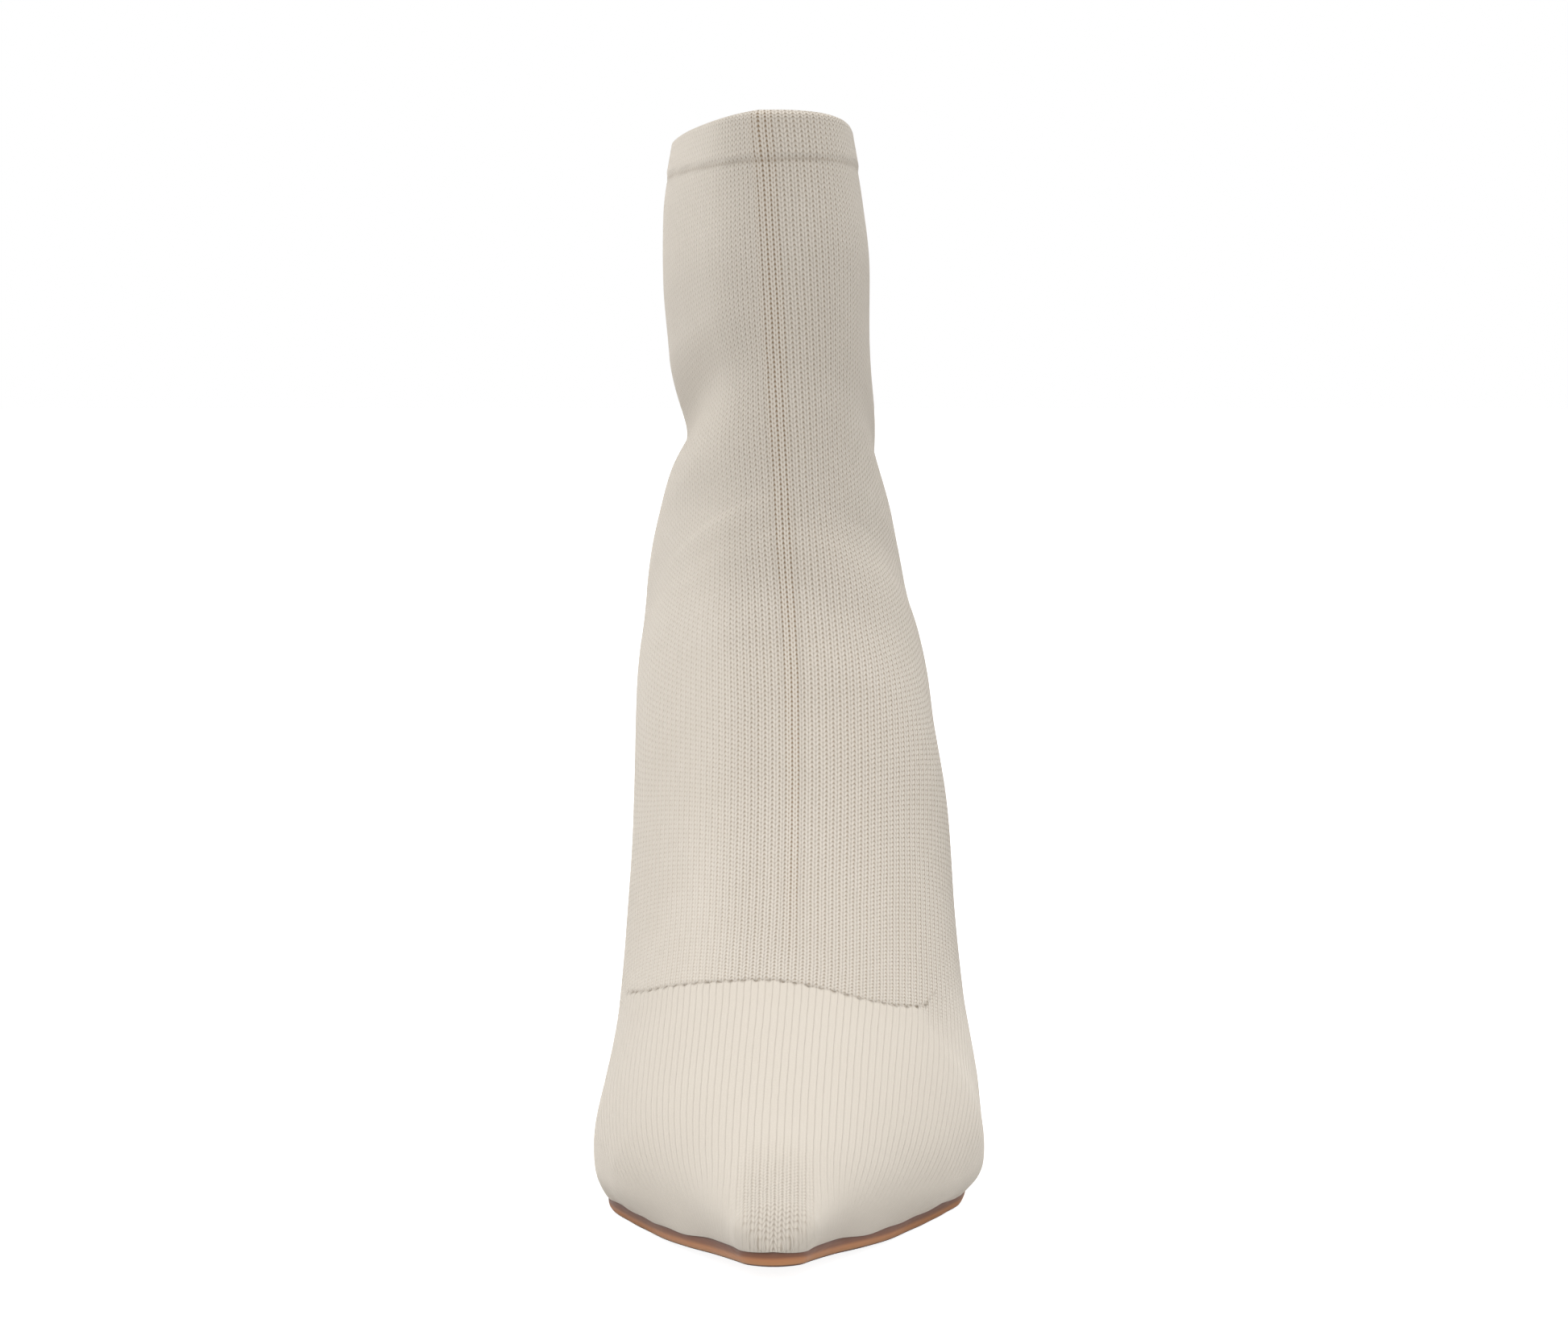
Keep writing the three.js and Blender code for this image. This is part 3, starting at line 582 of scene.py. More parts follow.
# %% [markdown]
# Knitted cloth is never quite even, and at the feather edge it swells a little over the sole and hangs in
# small waves. Random noise could give both, but a few sines are the same on every run, and each has its
# own length to set.

# %% A little unevenness, and the edge that hangs over the sole
uneven = 0.1 * mm
wander_along, wander_around = 9 * mm, 11 * mm
bend_along, bend_around = 31 * mm, 17 * mm
edge_reach = 5 * mm
edge_swell = 0.35 * mm
swell_wave = 0.075 * mm
edge_drop = 0.45 * mm
drop_wave = 0.0875 * mm
drop_reach = 2 * mm

wander = np.sin(along / wander_along + 1.3 * np.sin(around / bend_around))
wander *= np.sin(around / wander_around + along / bend_along)
from_edge = np.stack([around - around[:, :1], around[:, -1:] - around]).min(axis=0)
on_sole = (row_place <= seat_section).astype(float)
near_edge = np.exp(-((from_edge / edge_reach) ** 2)) * on_sole
waves = ((1, 3.7 * mm, 0), (0.7, 2.3 * mm, 1), (0.8, 6.1 * mm, 2))  # height, length and start of each
ripple = sum(height * np.sin(row_at / length + start) for height, length, start in waves)
relief = seam_relief + rib_relief + hem_relief + soft_relief + uneven * wander
relief += near_edge * (edge_swell + swell_wave * ripple)
print("relief from", round(float(relief.min()) / mm, 2), "to", round(float(relief.max()) / mm, 2), "mm")

# %% Lay the relief on the surface
shaft_rows = slice(200, 300)


def grid_normals(grid):
    """Outward directions of a grid of points whose rows run along the boot and columns around it."""
    lengthways = np.gradient(grid, axis=0)
    sideways = np.gradient(grid, axis=1)
    normal = np.cross(sideways, lengthways)
    size = np.linalg.norm(normal, axis=2, keepdims=True)
    normal = np.where(size > 1e-14, normal / np.maximum(size, 1e-14), 0)
    normal[0] = normal[1].mean(axis=0)
    return normal


def to_frame(points):
    """From the last's own axes, behind the toe tip, to the row frame."""
    return points - np.array([middle_across, middle_at, 0])


normals = grid_normals(plain)
skin = plain + normals * relief[..., None]
hang = near_edge * (edge_drop + drop_wave * ripple) * np.exp(-((from_edge / drop_reach) ** 2))
skin[..., 2] -= hang
outwards = float(((plain - plain.mean(axis=(0, 1))) * normals).sum(axis=2)[shaft_rows].mean())
print("normals point", "out" if outwards > 0 else "in")

# %% [markdown]
# At the collar the knit folds over into the boot. A few rows of points make that fold a half circle, as
# thick as the wall, and more of them carry on down inside as the turned hem. The solidify modifier could
# give the wall its thickness too, but not a hem that ends where the lining comes out from behind it.

# %% The rim of the collar and the hem inside it
rim_steps = 8
inside_rows = 10
hem_overrun = 2 * mm  # how far the turned hem runs on below the outer one
hem_in_wall = 0.1 * mm  # how far its inner face lies within the wall


def rim_and_hem():
    """Rows that fold over the collar and run down inside it."""
    top, below = skin[-1], skin[-2]
    outward = normals[-1]
    upward = top - below
    upward /= np.linalg.norm(upward, axis=1, keepdims=True)
    half = (wall + hem_step) / 2
    centre = top - outward * half - upward * half
    rim = []
    for angle in np.linspace(0, math.pi, rim_steps):
        rim.append(centre + outward * half * math.cos(angle) + upward * half * math.sin(angle))
    inside = []
    for step in range(1, inside_rows + 1):
        down = (hem_height + hem_overrun) * step / inside_rows
        levels = enumerate(top[:, 2] - down)
        row = np.array([np.interp(level, skin[:, k, 2], np.arange(row_count)) for k, level in levels])
        low, share = np.floor(row).astype(int), (row % 1)[:, None]
        high = np.minimum(low + 1, row_count - 1)
        index = np.arange(skin.shape[1])
        outside = plain[low, index] * (1 - share) + plain[high, index] * share
        inside.append(outside - normals[low, index] * (wall - hem_in_wall))
    return np.array(rim), np.array(inside)


rim_rows, hem_rows = rim_and_hem()
kept_rows = int(np.argmin(np.abs(below_collar[:, side_count] - (wall + hem_step) / 2)))
sheet = np.concatenate([skin[:kept_rows], rim_rows, hem_rows])
print("rows", len(sheet), "with", len(rim_rows), "in the rim")

# %% Make a mesh from a grid
def piece_from(name, points, faces, sharp_degrees=180):
    """A smooth mesh object in the row frame, with its edges sharper than a given angle kept."""
    mesh = bpy.data.meshes.new(name)
    mesh.from_pydata(points.tolist(), [], faces.tolist())
    mesh.shade_smooth()
    if sharp_degrees < 180:
        mesh.set_sharp_from_angle(angle=math.radians(sharp_degrees))
    made = bpy.data.objects.new(name, mesh)
    bpy.context.scene.collection.objects.link(made)
    return made


def grid_faces(row_total, column_total, flip=False):
    """Quads between neighbouring rows and columns."""
    index = np.arange(row_total * column_total).reshape(row_total, column_total)
    corners = [index[:-1, :-1], index[:-1, 1:], index[1:, 1:], index[1:, :-1]]
    if flip:
        corners = corners[::-1]
    return np.stack(corners, axis=-1).reshape(-1, 4)


def store(made, name, values):
    """A value at each point of a mesh, for its material to read."""
    attribute = made.data.attributes.new(name, "FLOAT", "POINT")
    attribute.data.foreach_set("value", np.ascontiguousarray(values, np.float32).ravel())


def close_seams(made):
    """Merges points that lie on each other, where the sheet meets itself at the nose.

    Down the back the relief of its two sides differs by up to 0.35 mm, so a hairline stays open there.
    """
    work = bmesh.new()
    work.from_mesh(made.data)
    bmesh.ops.remove_doubles(work, verts=work.verts, dist=0.02 * mm)
    work.to_mesh(made.data)
    work.free()


def store_uv(made, name, across_values, along_values):
    """A UV map from two values at each point."""
    layer = made.data.uv_layers.new(name=name)
    corner = np.empty(len(made.data.loops), int)
    made.data.loops.foreach_get("vertex_index", corner)
    pairs = np.stack([np.ravel(across_values)[corner], np.ravel(along_values)[corner]], axis=1)
    layer.data.foreach_set("uv", pairs.astype(np.float32).ravel())


print("a grid of 3 by 4 points has", len(grid_faces(3, 4)), "faces")

# %% [markdown]
# The stitches themselves are drawn by the material. They need to know which column and which course of
# the knit a point lies in, so the mesh carries a UV map counted in stitches: across it, the distance from
# the crest over the width of one column, and along it, the length of the crest over the height of one
# course.

# %% The knitted upper
wale = 1.6 * mm  # one column of stitches
course = 1.1 * mm  # one row of them
toe_wale = 1.54 * mm  # the toe is knitted closer
toe_wale_until, wale_from = 4.6, 7.2  # sections between which the columns widen
nose_columns = 34 * mm  # how far from the nose its columns run straight down instead of around it
rim_course = 0.8 * mm  # the way from row to row over the rim
rib_shade = ([6, 8], [0.8, 1])  # how strongly the rib shows, by section


def extended(values, step=0.0):
    """Values of the outer sheet, carried on over the rim and down inside."""
    last = values[kept_rows - 1]
    more = [last + step * (k + 1) for k in range(len(rim_rows) + len(hem_rows))]
    return np.concatenate([values[:kept_rows], more])


def stitch_columns():
    """The column of the knit at each point: two on each side of the crest in the rib, then one to a wale."""
    wale_here = np.interp(row_place, [toe_wale_until, wale_from], [toe_wale, wale])
    half = 2 * (wale_here + (rib_wale - wale_here) * rib_share)
    at_nose = 1 - smooth(nose_columns / 2, nose_columns, along)
    straight = plain[..., 0] - crest_points[..., 0]
    distance = around * (1 - at_nose) + straight * at_nose
    beside = np.abs(distance)
    counted = np.where(beside < half, beside / half * 2, 2 + (beside - half) / wale_here)
    return counted * np.sign(distance)


upper = piece_from("knitted_upper", to_frame(sheet.reshape(-1, 3)), grid_faces(*sheet.shape[:2], flip=True))
store_uv(upper, "stitches", extended(stitch_columns()), extended(along, rim_course) / course)
store(upper, "past_seam", extended(past_seam) / mm)
store(upper, "seam_share", extended(seam_share))
store(upper, "around", extended(around) / mm)
store(upper, "along", extended(along) / mm)
store(upper, "rib", extended(rib_mask * np.interp(row_place, *rib_shade)))
store(upper, "over_hem", extended(over_hem) / mm)
store(upper, "from_edge", extended(from_edge) / mm)
close_seams(upper)
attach(upper, "root")
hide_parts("upper")
print("upper", len(upper.data.polygons), "faces")

# %% [markdown]
# The lining is a thin knit on the inside of the wall. It is seen only from above, down the collar, so a
# sheet with a few of the upper's own points is enough. Its upper edge lies behind the turned hem, drawn a
# little into the wall there, so that no slit shows between the two.

# %% The lining, inside the hem
row_step, column_step = 3, 2
lining_top = 0.35  # where its upper edge lies behind the hem, as a share of the hem
lining_tuck = 0.5 * mm
tuck_from, tuck_to = hem_height + 0.5 * mm, hem_height + 2.5 * mm
lining_folds = 0.7  # how much of the upper's folds shows inside

lining_rows = np.unique(np.append(np.arange(row_step, kept_rows - 1, row_step), kept_rows - 1))
lining_rows = lining_rows[below_collar[lining_rows, side_count] > hem_height * lining_top]
lining_columns = np.arange(0, sheet.shape[1], column_step)
behind_hem = 1 - smooth(tuck_from, tuck_to, below_collar)
lining_out = soft_relief * lining_folds + behind_hem * lining_tuck - wall
lining_grid = plain + normals * lining_out[..., None]
lining_points = lining_grid[np.ix_(lining_rows, lining_columns)]
lining = piece_from(
    "sock_lining",
    to_frame(lining_points.reshape(-1, 3)),
    grid_faces(len(lining_rows), len(lining_columns)),
)
store_uv(
    lining,
    "stitches",
    around[np.ix_(lining_rows, lining_columns)] / wale,
    along[np.ix_(lining_rows, lining_columns)] / course,
)
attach(lining, "root")
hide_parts("upper")
print("lining", len(lining.data.polygons), "faces")

# %% [markdown]
# The sole is cut from one layer of leather and skived along its edge. Its top is hidden under the knit,
# its side stands a little proud and turns under in a round bevel, and its tread is flat under the ball.
# It is lofted through one outline of the edge at many places along the boot, like the CAD piece but with
# a rounder bevel.

# %% Points of the feather edge
edge_step = 0.05 * mm


def feather_x(at, side):
    return feather_middle(at) + side * feather_half(at)


def edge_point(at, side, inset, thickness):
    """A point of the sole's edge, drawn in by inset, on a layer of a given height over the underside."""
    before, after = max(0, at - edge_step), min(sole_length, at + edge_step)
    run = after - before
    drift = feather_x(before, side) - feather_x(after, side)
    outward = np.array([run * side, drift * side])
    outward /= np.linalg.norm(outward)
    x = feather_x(at, side) - outward[0] * inset
    y = at - outward[1] * inset
    return np.array([x, y, layer_up(y, thickness)])


def between(left, right, count, thickness):
    """Points straight across a layer, without its two ends."""
    inner = []
    for share in np.linspace(0, 1, count + 2)[1:-1]:
        point = left + (right - left) * share
        inner.append([point[0], point[1], layer_up(point[1], thickness)])
    return inner


def plate_places(first, last, count):
    """Places along a plate, closer together at its round toe."""
    share = np.linspace(0, 1, count)
    return first + (last - first) * (share**1.6 * (1 - share) + share * share)


breast_edge = edge_point(heel_breast, 1, 0, outsole_thickness)
print("edge over the heel's breast", round(float(breast_edge[2]) / mm, 1), "mm up")

# %% Rings of the outsole
# Outline of its edge, from the knit down to the tread: out of the feather edge, and up as a share of its
# thickness.
edge_outline = table(
    "out up",
    (-0.25 * mm, 1.0),
    (-0.02 * mm, 0.965),
    (0.08 * mm, 0.88),
    (0.15 * mm, 0.72),
    (0.2 * mm, 0.55),
    (0.16 * mm, 0.4),
    (0.0 * mm, 0.25),
    (-0.3 * mm, 0.12),
    (-0.7 * mm, 0.035),
    (-1.1 * mm, 0.0),
)
nose_start = 0.004 * mm  # the first ring is all but a point
outsole_ring_count = 240
outsole_places = plate_places(nose_start, heel_breast - fit, outsole_ring_count)
across_count = 9


def outsole_ring(at):
    """One ring of the outsole, with its height on the edge: 1 at the knit and 0 on the tread."""
    sides = {
        side: [edge_point(at, side, -out, outsole_thickness * up) for out, up in zip(*edge_outline.values())]
        for side in (-1, 1)
    }
    top = between(sides[-1][0], sides[1][0], across_count, outsole_thickness)
    tread = between(sides[1][-1], sides[-1][-1], across_count, 0)
    return [*top, *sides[1], *tread, *reversed(sides[-1])]


outsole_rings = np.array([outsole_ring(at) for at in outsole_places])
heights = list(edge_outline["up"])
ring_height = np.array([1.0] * across_count + heights + [0.0] * across_count + heights[::-1])
ring_side = np.array(([0.0] * across_count + [1.0] * len(heights)) * 2)
print("outsole rings", len(outsole_rings), "of", len(ring_height), "points")


# %% Loft closed rings into a piece
def ring_faces(ring_total, count, flip=False):
    """Quads round a loft of closed rings."""
    faces = []
    for i in range(ring_total - 1):
        for k in range(count):
            after = (k + 1) % count
            quad = [i * count + k, i * count + after, (i + 1) * count + after, (i + 1) * count + k]
            faces.append(quad[::-1] if flip else quad)
    return faces


def lofted(name, rings, flip, sharp_degrees=180, nose=False):
    """A smooth piece through closed rings, with both ends closed, or the first one pinched to a nose."""
    total, count = rings.shape[:2]
    faces = ring_faces(total, count, flip)
    first = list(range(count))
    last = [(total - 1) * count + k for k in range(count)]
    if not nose:
        faces.append(first if flip else first[::-1])
    faces.append(last[::-1] if flip else last)
    mesh = bpy.data.meshes.new(name)
    mesh.from_pydata(to_frame(rings.reshape(-1, 3)).tolist(), [], faces)
    mesh.validate()
    mesh.shade_smooth()
    if sharp_degrees < 180:
        mesh.set_sharp_from_angle(angle=math.radians(sharp_degrees))
    made = bpy.data.objects.new(name, mesh)
    bpy.context.scene.collection.objects.link(made)
    return made


print("two rings of 4 points have", len(ring_faces(2, 4)), "faces between them")

# %% The outsole
outsole_rings[0, :, 0] = outsole_rings[0, :, 0].mean()
outsole = lofted("leather_outsole", outsole_rings, flip=False, sharp_degrees=50, nose=True)
store(outsole, "edge_up", np.tile(ring_height, (len(outsole_rings), 1)))
store(outsole, "edge_side", np.tile(ring_side, (len(outsole_rings), 1)))
close_seams(outsole)
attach(outsole, "root")
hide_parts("outsole")
print("outsole", len(outsole.data.polygons), "faces")

# %% [markdown]
# The insole is a covered board that lies on the sole, inside the boot, and only its top shows. It could
# be a flat plate bent along a curve, but lofting it like the outsole, from the same feather edge, makes
# it follow the last by itself. Its outline rounds off the upper edge.

# %% The insole, with its rounded edge
insole_outline = table(
    "into up",
    (0, 0),
    (0, 0.6),
    (0.25 * mm, 0.85),
    (0.8 * mm, 1),
)
insole_start = 0.5 * mm
seat_stop = 0.15 * mm  # rings end this far from the very back, where the edge turns straight across
insole_ring_count = 120
insole_places = plate_places(insole_start, sole_length - seat_stop, insole_ring_count)
insole_base = outsole_thickness + fit
insole_inset = wall + insole_ease


def insole_edge(at, side):
    """The insole's edge on one side of a ring, from its base to its top."""
    outline = zip(*insole_outline.values())
    return [
        edge_point(at, side, insole_inset + into, insole_base + insole_thickness * up) for into, up in outline
    ]


def insole_ring(at):
    """One ring of the insole board, soft at its upper edge."""
    sides = {side: insole_edge(at, side) for side in (-1, 1)}
    top = between(sides[-1][-1], sides[1][-1], across_count, insole_base + insole_thickness)
    base = between(sides[1][0], sides[-1][0], across_count, insole_base)
    return [*top, *reversed(sides[1]), *base, *sides[-1]]


insole = lofted("insole_sock", np.array([insole_ring(at) for at in insole_places]), flip=False)
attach(insole, "root")
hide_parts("insole")
print("insole", len(insole.data.polygons), "faces")

# %% [markdown]
# The heel is a slim moulded block, covered in the same knit, whose breast is hollowed towards the tip.
# Its rings shrink from the outline of the seat to that of the heel tip, each with its own share of the
# way for the sides, the breast and the back. One more ring is tucked up under the knit, so that no gap
# shows there. The tip is a separate lift of brown rubber.

# %% Rings of the heel
heel_levels = table(
    "down half breast back",
    (0.0, 1.0, 0.0, 0.0),
    (0.06, 0.94, 0.07, 0.05),
    (0.14, 0.76, 0.27, 0.15),
    (0.24, 0.5, 0.52, 0.31),
    (0.36, 0.29, 0.74, 0.49),
    (0.5, 0.145, 0.89, 0.67),
    (0.66, 0.065, 0.965, 0.82),
    (0.83, 0.02, 0.995, 0.93),
    (1.0, 0, 1.0, 1.0),
)
heel_half = column(heel_levels["down"], heel_levels["half"])
heel_front = column(heel_levels["down"], heel_levels["breast"])
heel_back = column(heel_levels["down"], heel_levels["back"])
tip_front = sole_length - tip_inset - tip_length / 2
tip_back = tip_front + tip_length
seat_side_count = 26


def seat_outline():
    """The heel seat's outline behind its breast, one side and then back along the other."""
    reach = sole_length - seat_stop - heel_breast
    places_along = heel_breast + reach * np.sin(np.linspace(0, math.pi / 2, seat_side_count))
    sides = {side: [edge_point(at, side, 0, outsole_thickness) for at in places_along] for side in (1, -1)}
    return np.array([*sides[1], *reversed(sides[-1])])


def heel_ring(down, foot_up):
    """A ring of the heel, a share of the way down from its seat to a flat foot."""
    front_at = heel_breast + (tip_front - heel_breast) * heel_front(down)
    back_at = sole_length + (tip_back - sole_length) * heel_back(down)
    middle = feather_middle(sole_length)
    slim = tip_width / 2 / feather_half(sole_length - seat_radius)
    ring = seat_outline()
    share = (ring[:, 1] - heel_breast) / (sole_length - heel_breast)
    x = middle + (ring[:, 0] - middle) * (slim + (1 - slim) * heel_half(down))
    y = front_at + (back_at - front_at) * share
    return np.stack([x, y, ring[:, 2] + (foot_up - ring[:, 2]) * down], axis=1)


def drawn_in(ring, inset):
    """A ring drawn in towards its middle, for a rounded edge."""
    middle = ring.mean(axis=0)
    out = ring - middle
    reach = np.maximum(np.linalg.norm(out[:, :2], axis=1, keepdims=True), 1e-6)
    return middle + out * (1 - inset / reach)


print("points round the heel", len(seat_outline()))

# %% The covered heel
heel_foot_up = tip_thickness + fit
heel_ring_count = 70
tuck_in, tuck_up = 0.7 * mm, 0.8 * mm
columns_round = 44

heel_downs = np.linspace(1, 0, heel_ring_count) ** 1.3
heel_rings = np.array([heel_ring(down, heel_foot_up) for down in heel_downs])
tucked = drawn_in(heel_rings[-1], tuck_in) + np.array([0, 0, tuck_up])
heel_rings = np.concatenate([heel_rings, tucked[None]])
heel = lofted("covered_heel", heel_rings, flip=False, sharp_degrees=55)
heel_columns = np.linspace(-0.5, 0.5, heel_rings.shape[1]) * columns_round
store_uv(
    heel,
    "stitches",
    np.tile(heel_columns, (len(heel_rings), 1)),
    heel_rings[..., 2] / course,
)
soft_edge = heel.modifiers.new("soft edge", "BEVEL")
soft_edge.width = 0.5 * mm
soft_edge.segments = 3
soft_edge.limit_method = "ANGLE"
soft_edge.angle_limit = math.radians(50)
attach(heel, "root")
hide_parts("heel")
print("heel", len(heel.data.polygons), "faces")

# %% The lift that it stands on
tip_levels = table(
    "up inset",
    (0, 0.5 * mm),
    (0.15 * mm, 0.2 * mm),
    (0.5 * mm, 0),
    (tip_thickness - 0.3 * mm, 0),
    (tip_thickness, 0.25 * mm),
)
tip_rings = [drawn_in(heel_ring(1, up), inset) for up, inset in zip(*tip_levels.values())]
tip = lofted("heel_lift", np.array(tip_rings), flip=False, sharp_degrees=50)
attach(tip, "root")
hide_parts("heel_tip")
print("lift", len(tip.data.polygons), "faces")

# %% [markdown]
# Materials are made of nodes alone. What more than one finish needs, the stitch and the leather grain, is
# a node group with named sockets, so that each material can use it at its own strength. A group only
# hands out heights and masks, and the shader with its constant values stays in the material.

# %% Arithmetic, noise and colour in a node tree
def put(tree, socket, value):
    """Links a socket to an output, or sets its value."""
    if isinstance(value, bpy.types.NodeSocket):
        tree.links.new(value, socket)
    else:
        socket.default_value = value


def calc(tree, operation, first, second=0.0, third=0.0, clamp=False):
    """One step of arithmetic in a node tree."""
    step = tree.nodes.new("ShaderNodeMath")
    step.operation = operation
    step.use_clamp = clamp
    for socket, value in zip(step.inputs, (first, second, third)):
        put(tree, socket, value)
    return step.outputs[0]


def ramp(tree, value, low, high, to_low=0.0, to_high=1.0):
    """A soft step between two values."""
    step = tree.nodes.new("ShaderNodeMapRange")
    step.interpolation_type = "SMOOTHSTEP"
    names = ("Value", "From Min", "From Max", "To Min", "To Max")
    for name, given in zip(names, (value, low, high, to_low, to_high)):
        put(tree, step.inputs[name], given)
    return step.outputs["Result"]


def noise(tree, vector, scale, detail=2.0, roughness=0.5):
    """Noise between 0 and 1 at a scale in cells per unit."""
    texture = tree.nodes.new("ShaderNodeTexNoise")
    put(tree, texture.inputs["Vector"], vector)
    texture.inputs["Scale"].default_value = scale
    texture.inputs["Detail"].default_value = detail
    texture.inputs["Roughness"].default_value = roughness
    return texture.outputs["Fac"]


def mix(tree, share, first, second):
    """A colour between two others."""
    blend = tree.nodes.new("ShaderNodeMix")
    blend.data_type = "RGBA"
    put(tree, blend.inputs["Factor"], share)
    put(tree, blend.inputs["A"], first)
    put(tree, blend.inputs["B"], second)
    return blend.outputs["Result"]


def srgb(red, green, blue):
    """A colour of the screen, 0 to 255, as linear light."""
    def linear(value):
        share = value / 255
        return share / 12.92 if share <= 0.04045 else ((share + 0.055) / 1.055) ** 2.4

    return (linear(red), linear(green), linear(blue), 1.0)


print("middle grey in linear light", round(srgb(128, 128, 128)[0], 3))


# %% New groups and materials
def new_group(name, inputs, outputs):
    """A node group with named inputs and outputs, and its two end nodes."""
    group = bpy.data.node_groups.new(name, "ShaderNodeTree")
    for label, kind, value in inputs:
        socket = group.interface.new_socket(name=label, in_out="INPUT", socket_type=kind)
        if value is not None:
            socket.default_value = value
    for label in outputs:
        group.interface.new_socket(name=label, in_out="OUTPUT", socket_type="NodeSocketFloat")
    return group, group.nodes.new("NodeGroupInput").outputs, group.nodes.new("NodeGroupOutput").inputs


def use_group(tree, group, **values):
    """Places a group in a tree and gives back its outputs."""
    placed = tree.nodes.new("ShaderNodeGroup")
    placed.node_tree = group
    for label, value in values.items():
        put(tree, placed.inputs[label.replace("_", " ").capitalize()], value)
    return placed.outputs


def new_material(name, roughness, **constants):
    """A material with its shader, and the constant values set on the shader's own sockets."""
    material = bpy.data.materials.new(name)
    material.use_nodes = True
    shader = material.node_tree.nodes["Principled BSDF"]
    shader.inputs["Roughness"].default_value = roughness
    for label, value in constants.items():
        shader.inputs[label.replace("_", " ")].default_value = value
    return material, material.node_tree, shader


print("helpers for groups and materials ready")


# %% What a material reads from its mesh, and its bumps
def read(tree, name):
    """A value that the mesh carries at its points."""
    attribute = tree.nodes.new("ShaderNodeAttribute")
    attribute.attribute_name = name
    return attribute.outputs["Fac"]


def stitches_of(tree):
    """The mesh's UV map counted in stitches."""
    coordinates = tree.nodes.new("ShaderNodeUVMap")
    coordinates.uv_map = "stitches"
    return coordinates.outputs["UV"]


def in_metres(tree):
    """Places in metres on the object, the same from any side."""
    return tree.nodes.new("ShaderNodeTexCoord").outputs["Object"]


def bumped(tree, height, distance, strength=1.0, normal=None):
    """A normal from a height, with its depth in metres."""
    bump = tree.nodes.new("ShaderNodeBump")
    bump.inputs["Distance"].default_value = distance
    put(tree, bump.inputs["Strength"], strength)
    put(tree, bump.inputs["Height"], height)
    if normal is not None:
        put(tree, bump.inputs["Normal"], normal)
    return bump.outputs["Normal"]


print("helpers for reading the mesh ready")

# %% [markdown]
# Stocking stitch is columns of small Vs. Each column has two slanting legs of yarn with a faint line
# between them, and a deeper groove parts it from the next. The group works from coordinates counted in
# stitches. It gives the height of the yarn, the groove between columns, the small hole under each V, and
# a different value for each stitch, so that no two have quite the same shade.

# %% Stitch group
stitch_group, ins, outs = new_group(
    "stocking stitch",
    [("Stitches", "NodeSocketVector", None), ("Slope", "NodeSocketFloat", 0.62)],
    ["Height", "Groove", "Hole", "Mottle", "Rib"],
)


def build_stitch(tree, ins, outs):
    """The arithmetic of one V, from its column and its course."""
    split = tree.nodes.new("ShaderNodeSeparateXYZ")
    tree.links.new(ins["Stitches"], split.inputs[0])
    column_place, course_place = split.outputs[0], split.outputs[1]
    in_column = calc(tree, "FRACT", column_place)
    from_middle = calc(tree, "ABSOLUTE", calc(tree, "MULTIPLY_ADD", in_column, 2, -1))
    arch = calc(tree, "SINE", calc(tree, "MULTIPLY", from_middle, math.pi), clamp=True)
    leg = calc(tree, "MULTIPLY_ADD", calc(tree, "POWER", arch, 0.6), 0.65, 0.35)
    lifted = calc(tree, "SUBTRACT", course_place, calc(tree, "MULTIPLY", from_middle, ins["Slope"]))
    in_course = calc(tree, "FRACT", lifted)
    bead = calc(tree, "MULTIPLY", calc(tree, "MULTIPLY", in_course, 4), calc(tree, "SUBTRACT", 1, in_course))
    yarn = calc(tree, "MULTIPLY_ADD", calc(tree, "POWER", bead, 0.5), 0.5, 0.5)
    tree.links.new(calc(tree, "MULTIPLY", leg, yarn), outs["Height"])
    groove = ramp(tree, from_middle, 0.76, 1.0)
    tree.links.new(groove, outs["Groove"])
    gap = calc(tree, "POWER", calc(tree, "SUBTRACT", 1, bead), 0.95)
    between_legs = ramp(tree, from_middle, 0.08, 0.34, 0.5, 0)
    at_edges = calc(tree, "MAXIMUM", ramp(tree, from_middle, 0.5, 0.9), between_legs)
    tree.links.new(calc(tree, "MULTIPLY", gap, at_edges), outs["Hole"])
    cell = tree.nodes.new("ShaderNodeCombineXYZ")
    tree.links.new(calc(tree, "FLOOR", column_place), cell.inputs[0])
    tree.links.new(calc(tree, "FLOOR", lifted), cell.inputs[1])
    random_shade = tree.nodes.new("ShaderNodeTexWhiteNoise")
    random_shade.noise_dimensions = "2D"
    tree.links.new(cell.outputs[0], random_shade.inputs["Vector"])
    tree.links.new(random_shade.outputs["Value"], outs["Mottle"])
    fall = calc(tree, "SUBTRACT", 1, calc(tree, "POWER", from_middle, 3))
    tree.links.new(calc(tree, "SQRT", fall, clamp=True), outs["Rib"])


build_stitch(stitch_group, ins, outs)
print("stitch group", len(stitch_group.nodes), "nodes")

# %% [markdown]
# Smooth leather has fine pores, faint streaks drawn out one way and slow changes of tone, and the rubber
# of a heel lift has a fine grain too. A picture wrapped round them would stretch and show its seams,
# while noise in three dimensions fits any shape. One group serves all three, each at its own scale.

# %% Leather grain group
grain_group, ins, outs = new_group(
    "leather grain",
    [("Place", "NodeSocketVector", None), ("Scale", "NodeSocketFloat", 900.0)],
    ["Height", "Streaks", "Clouds"],
)


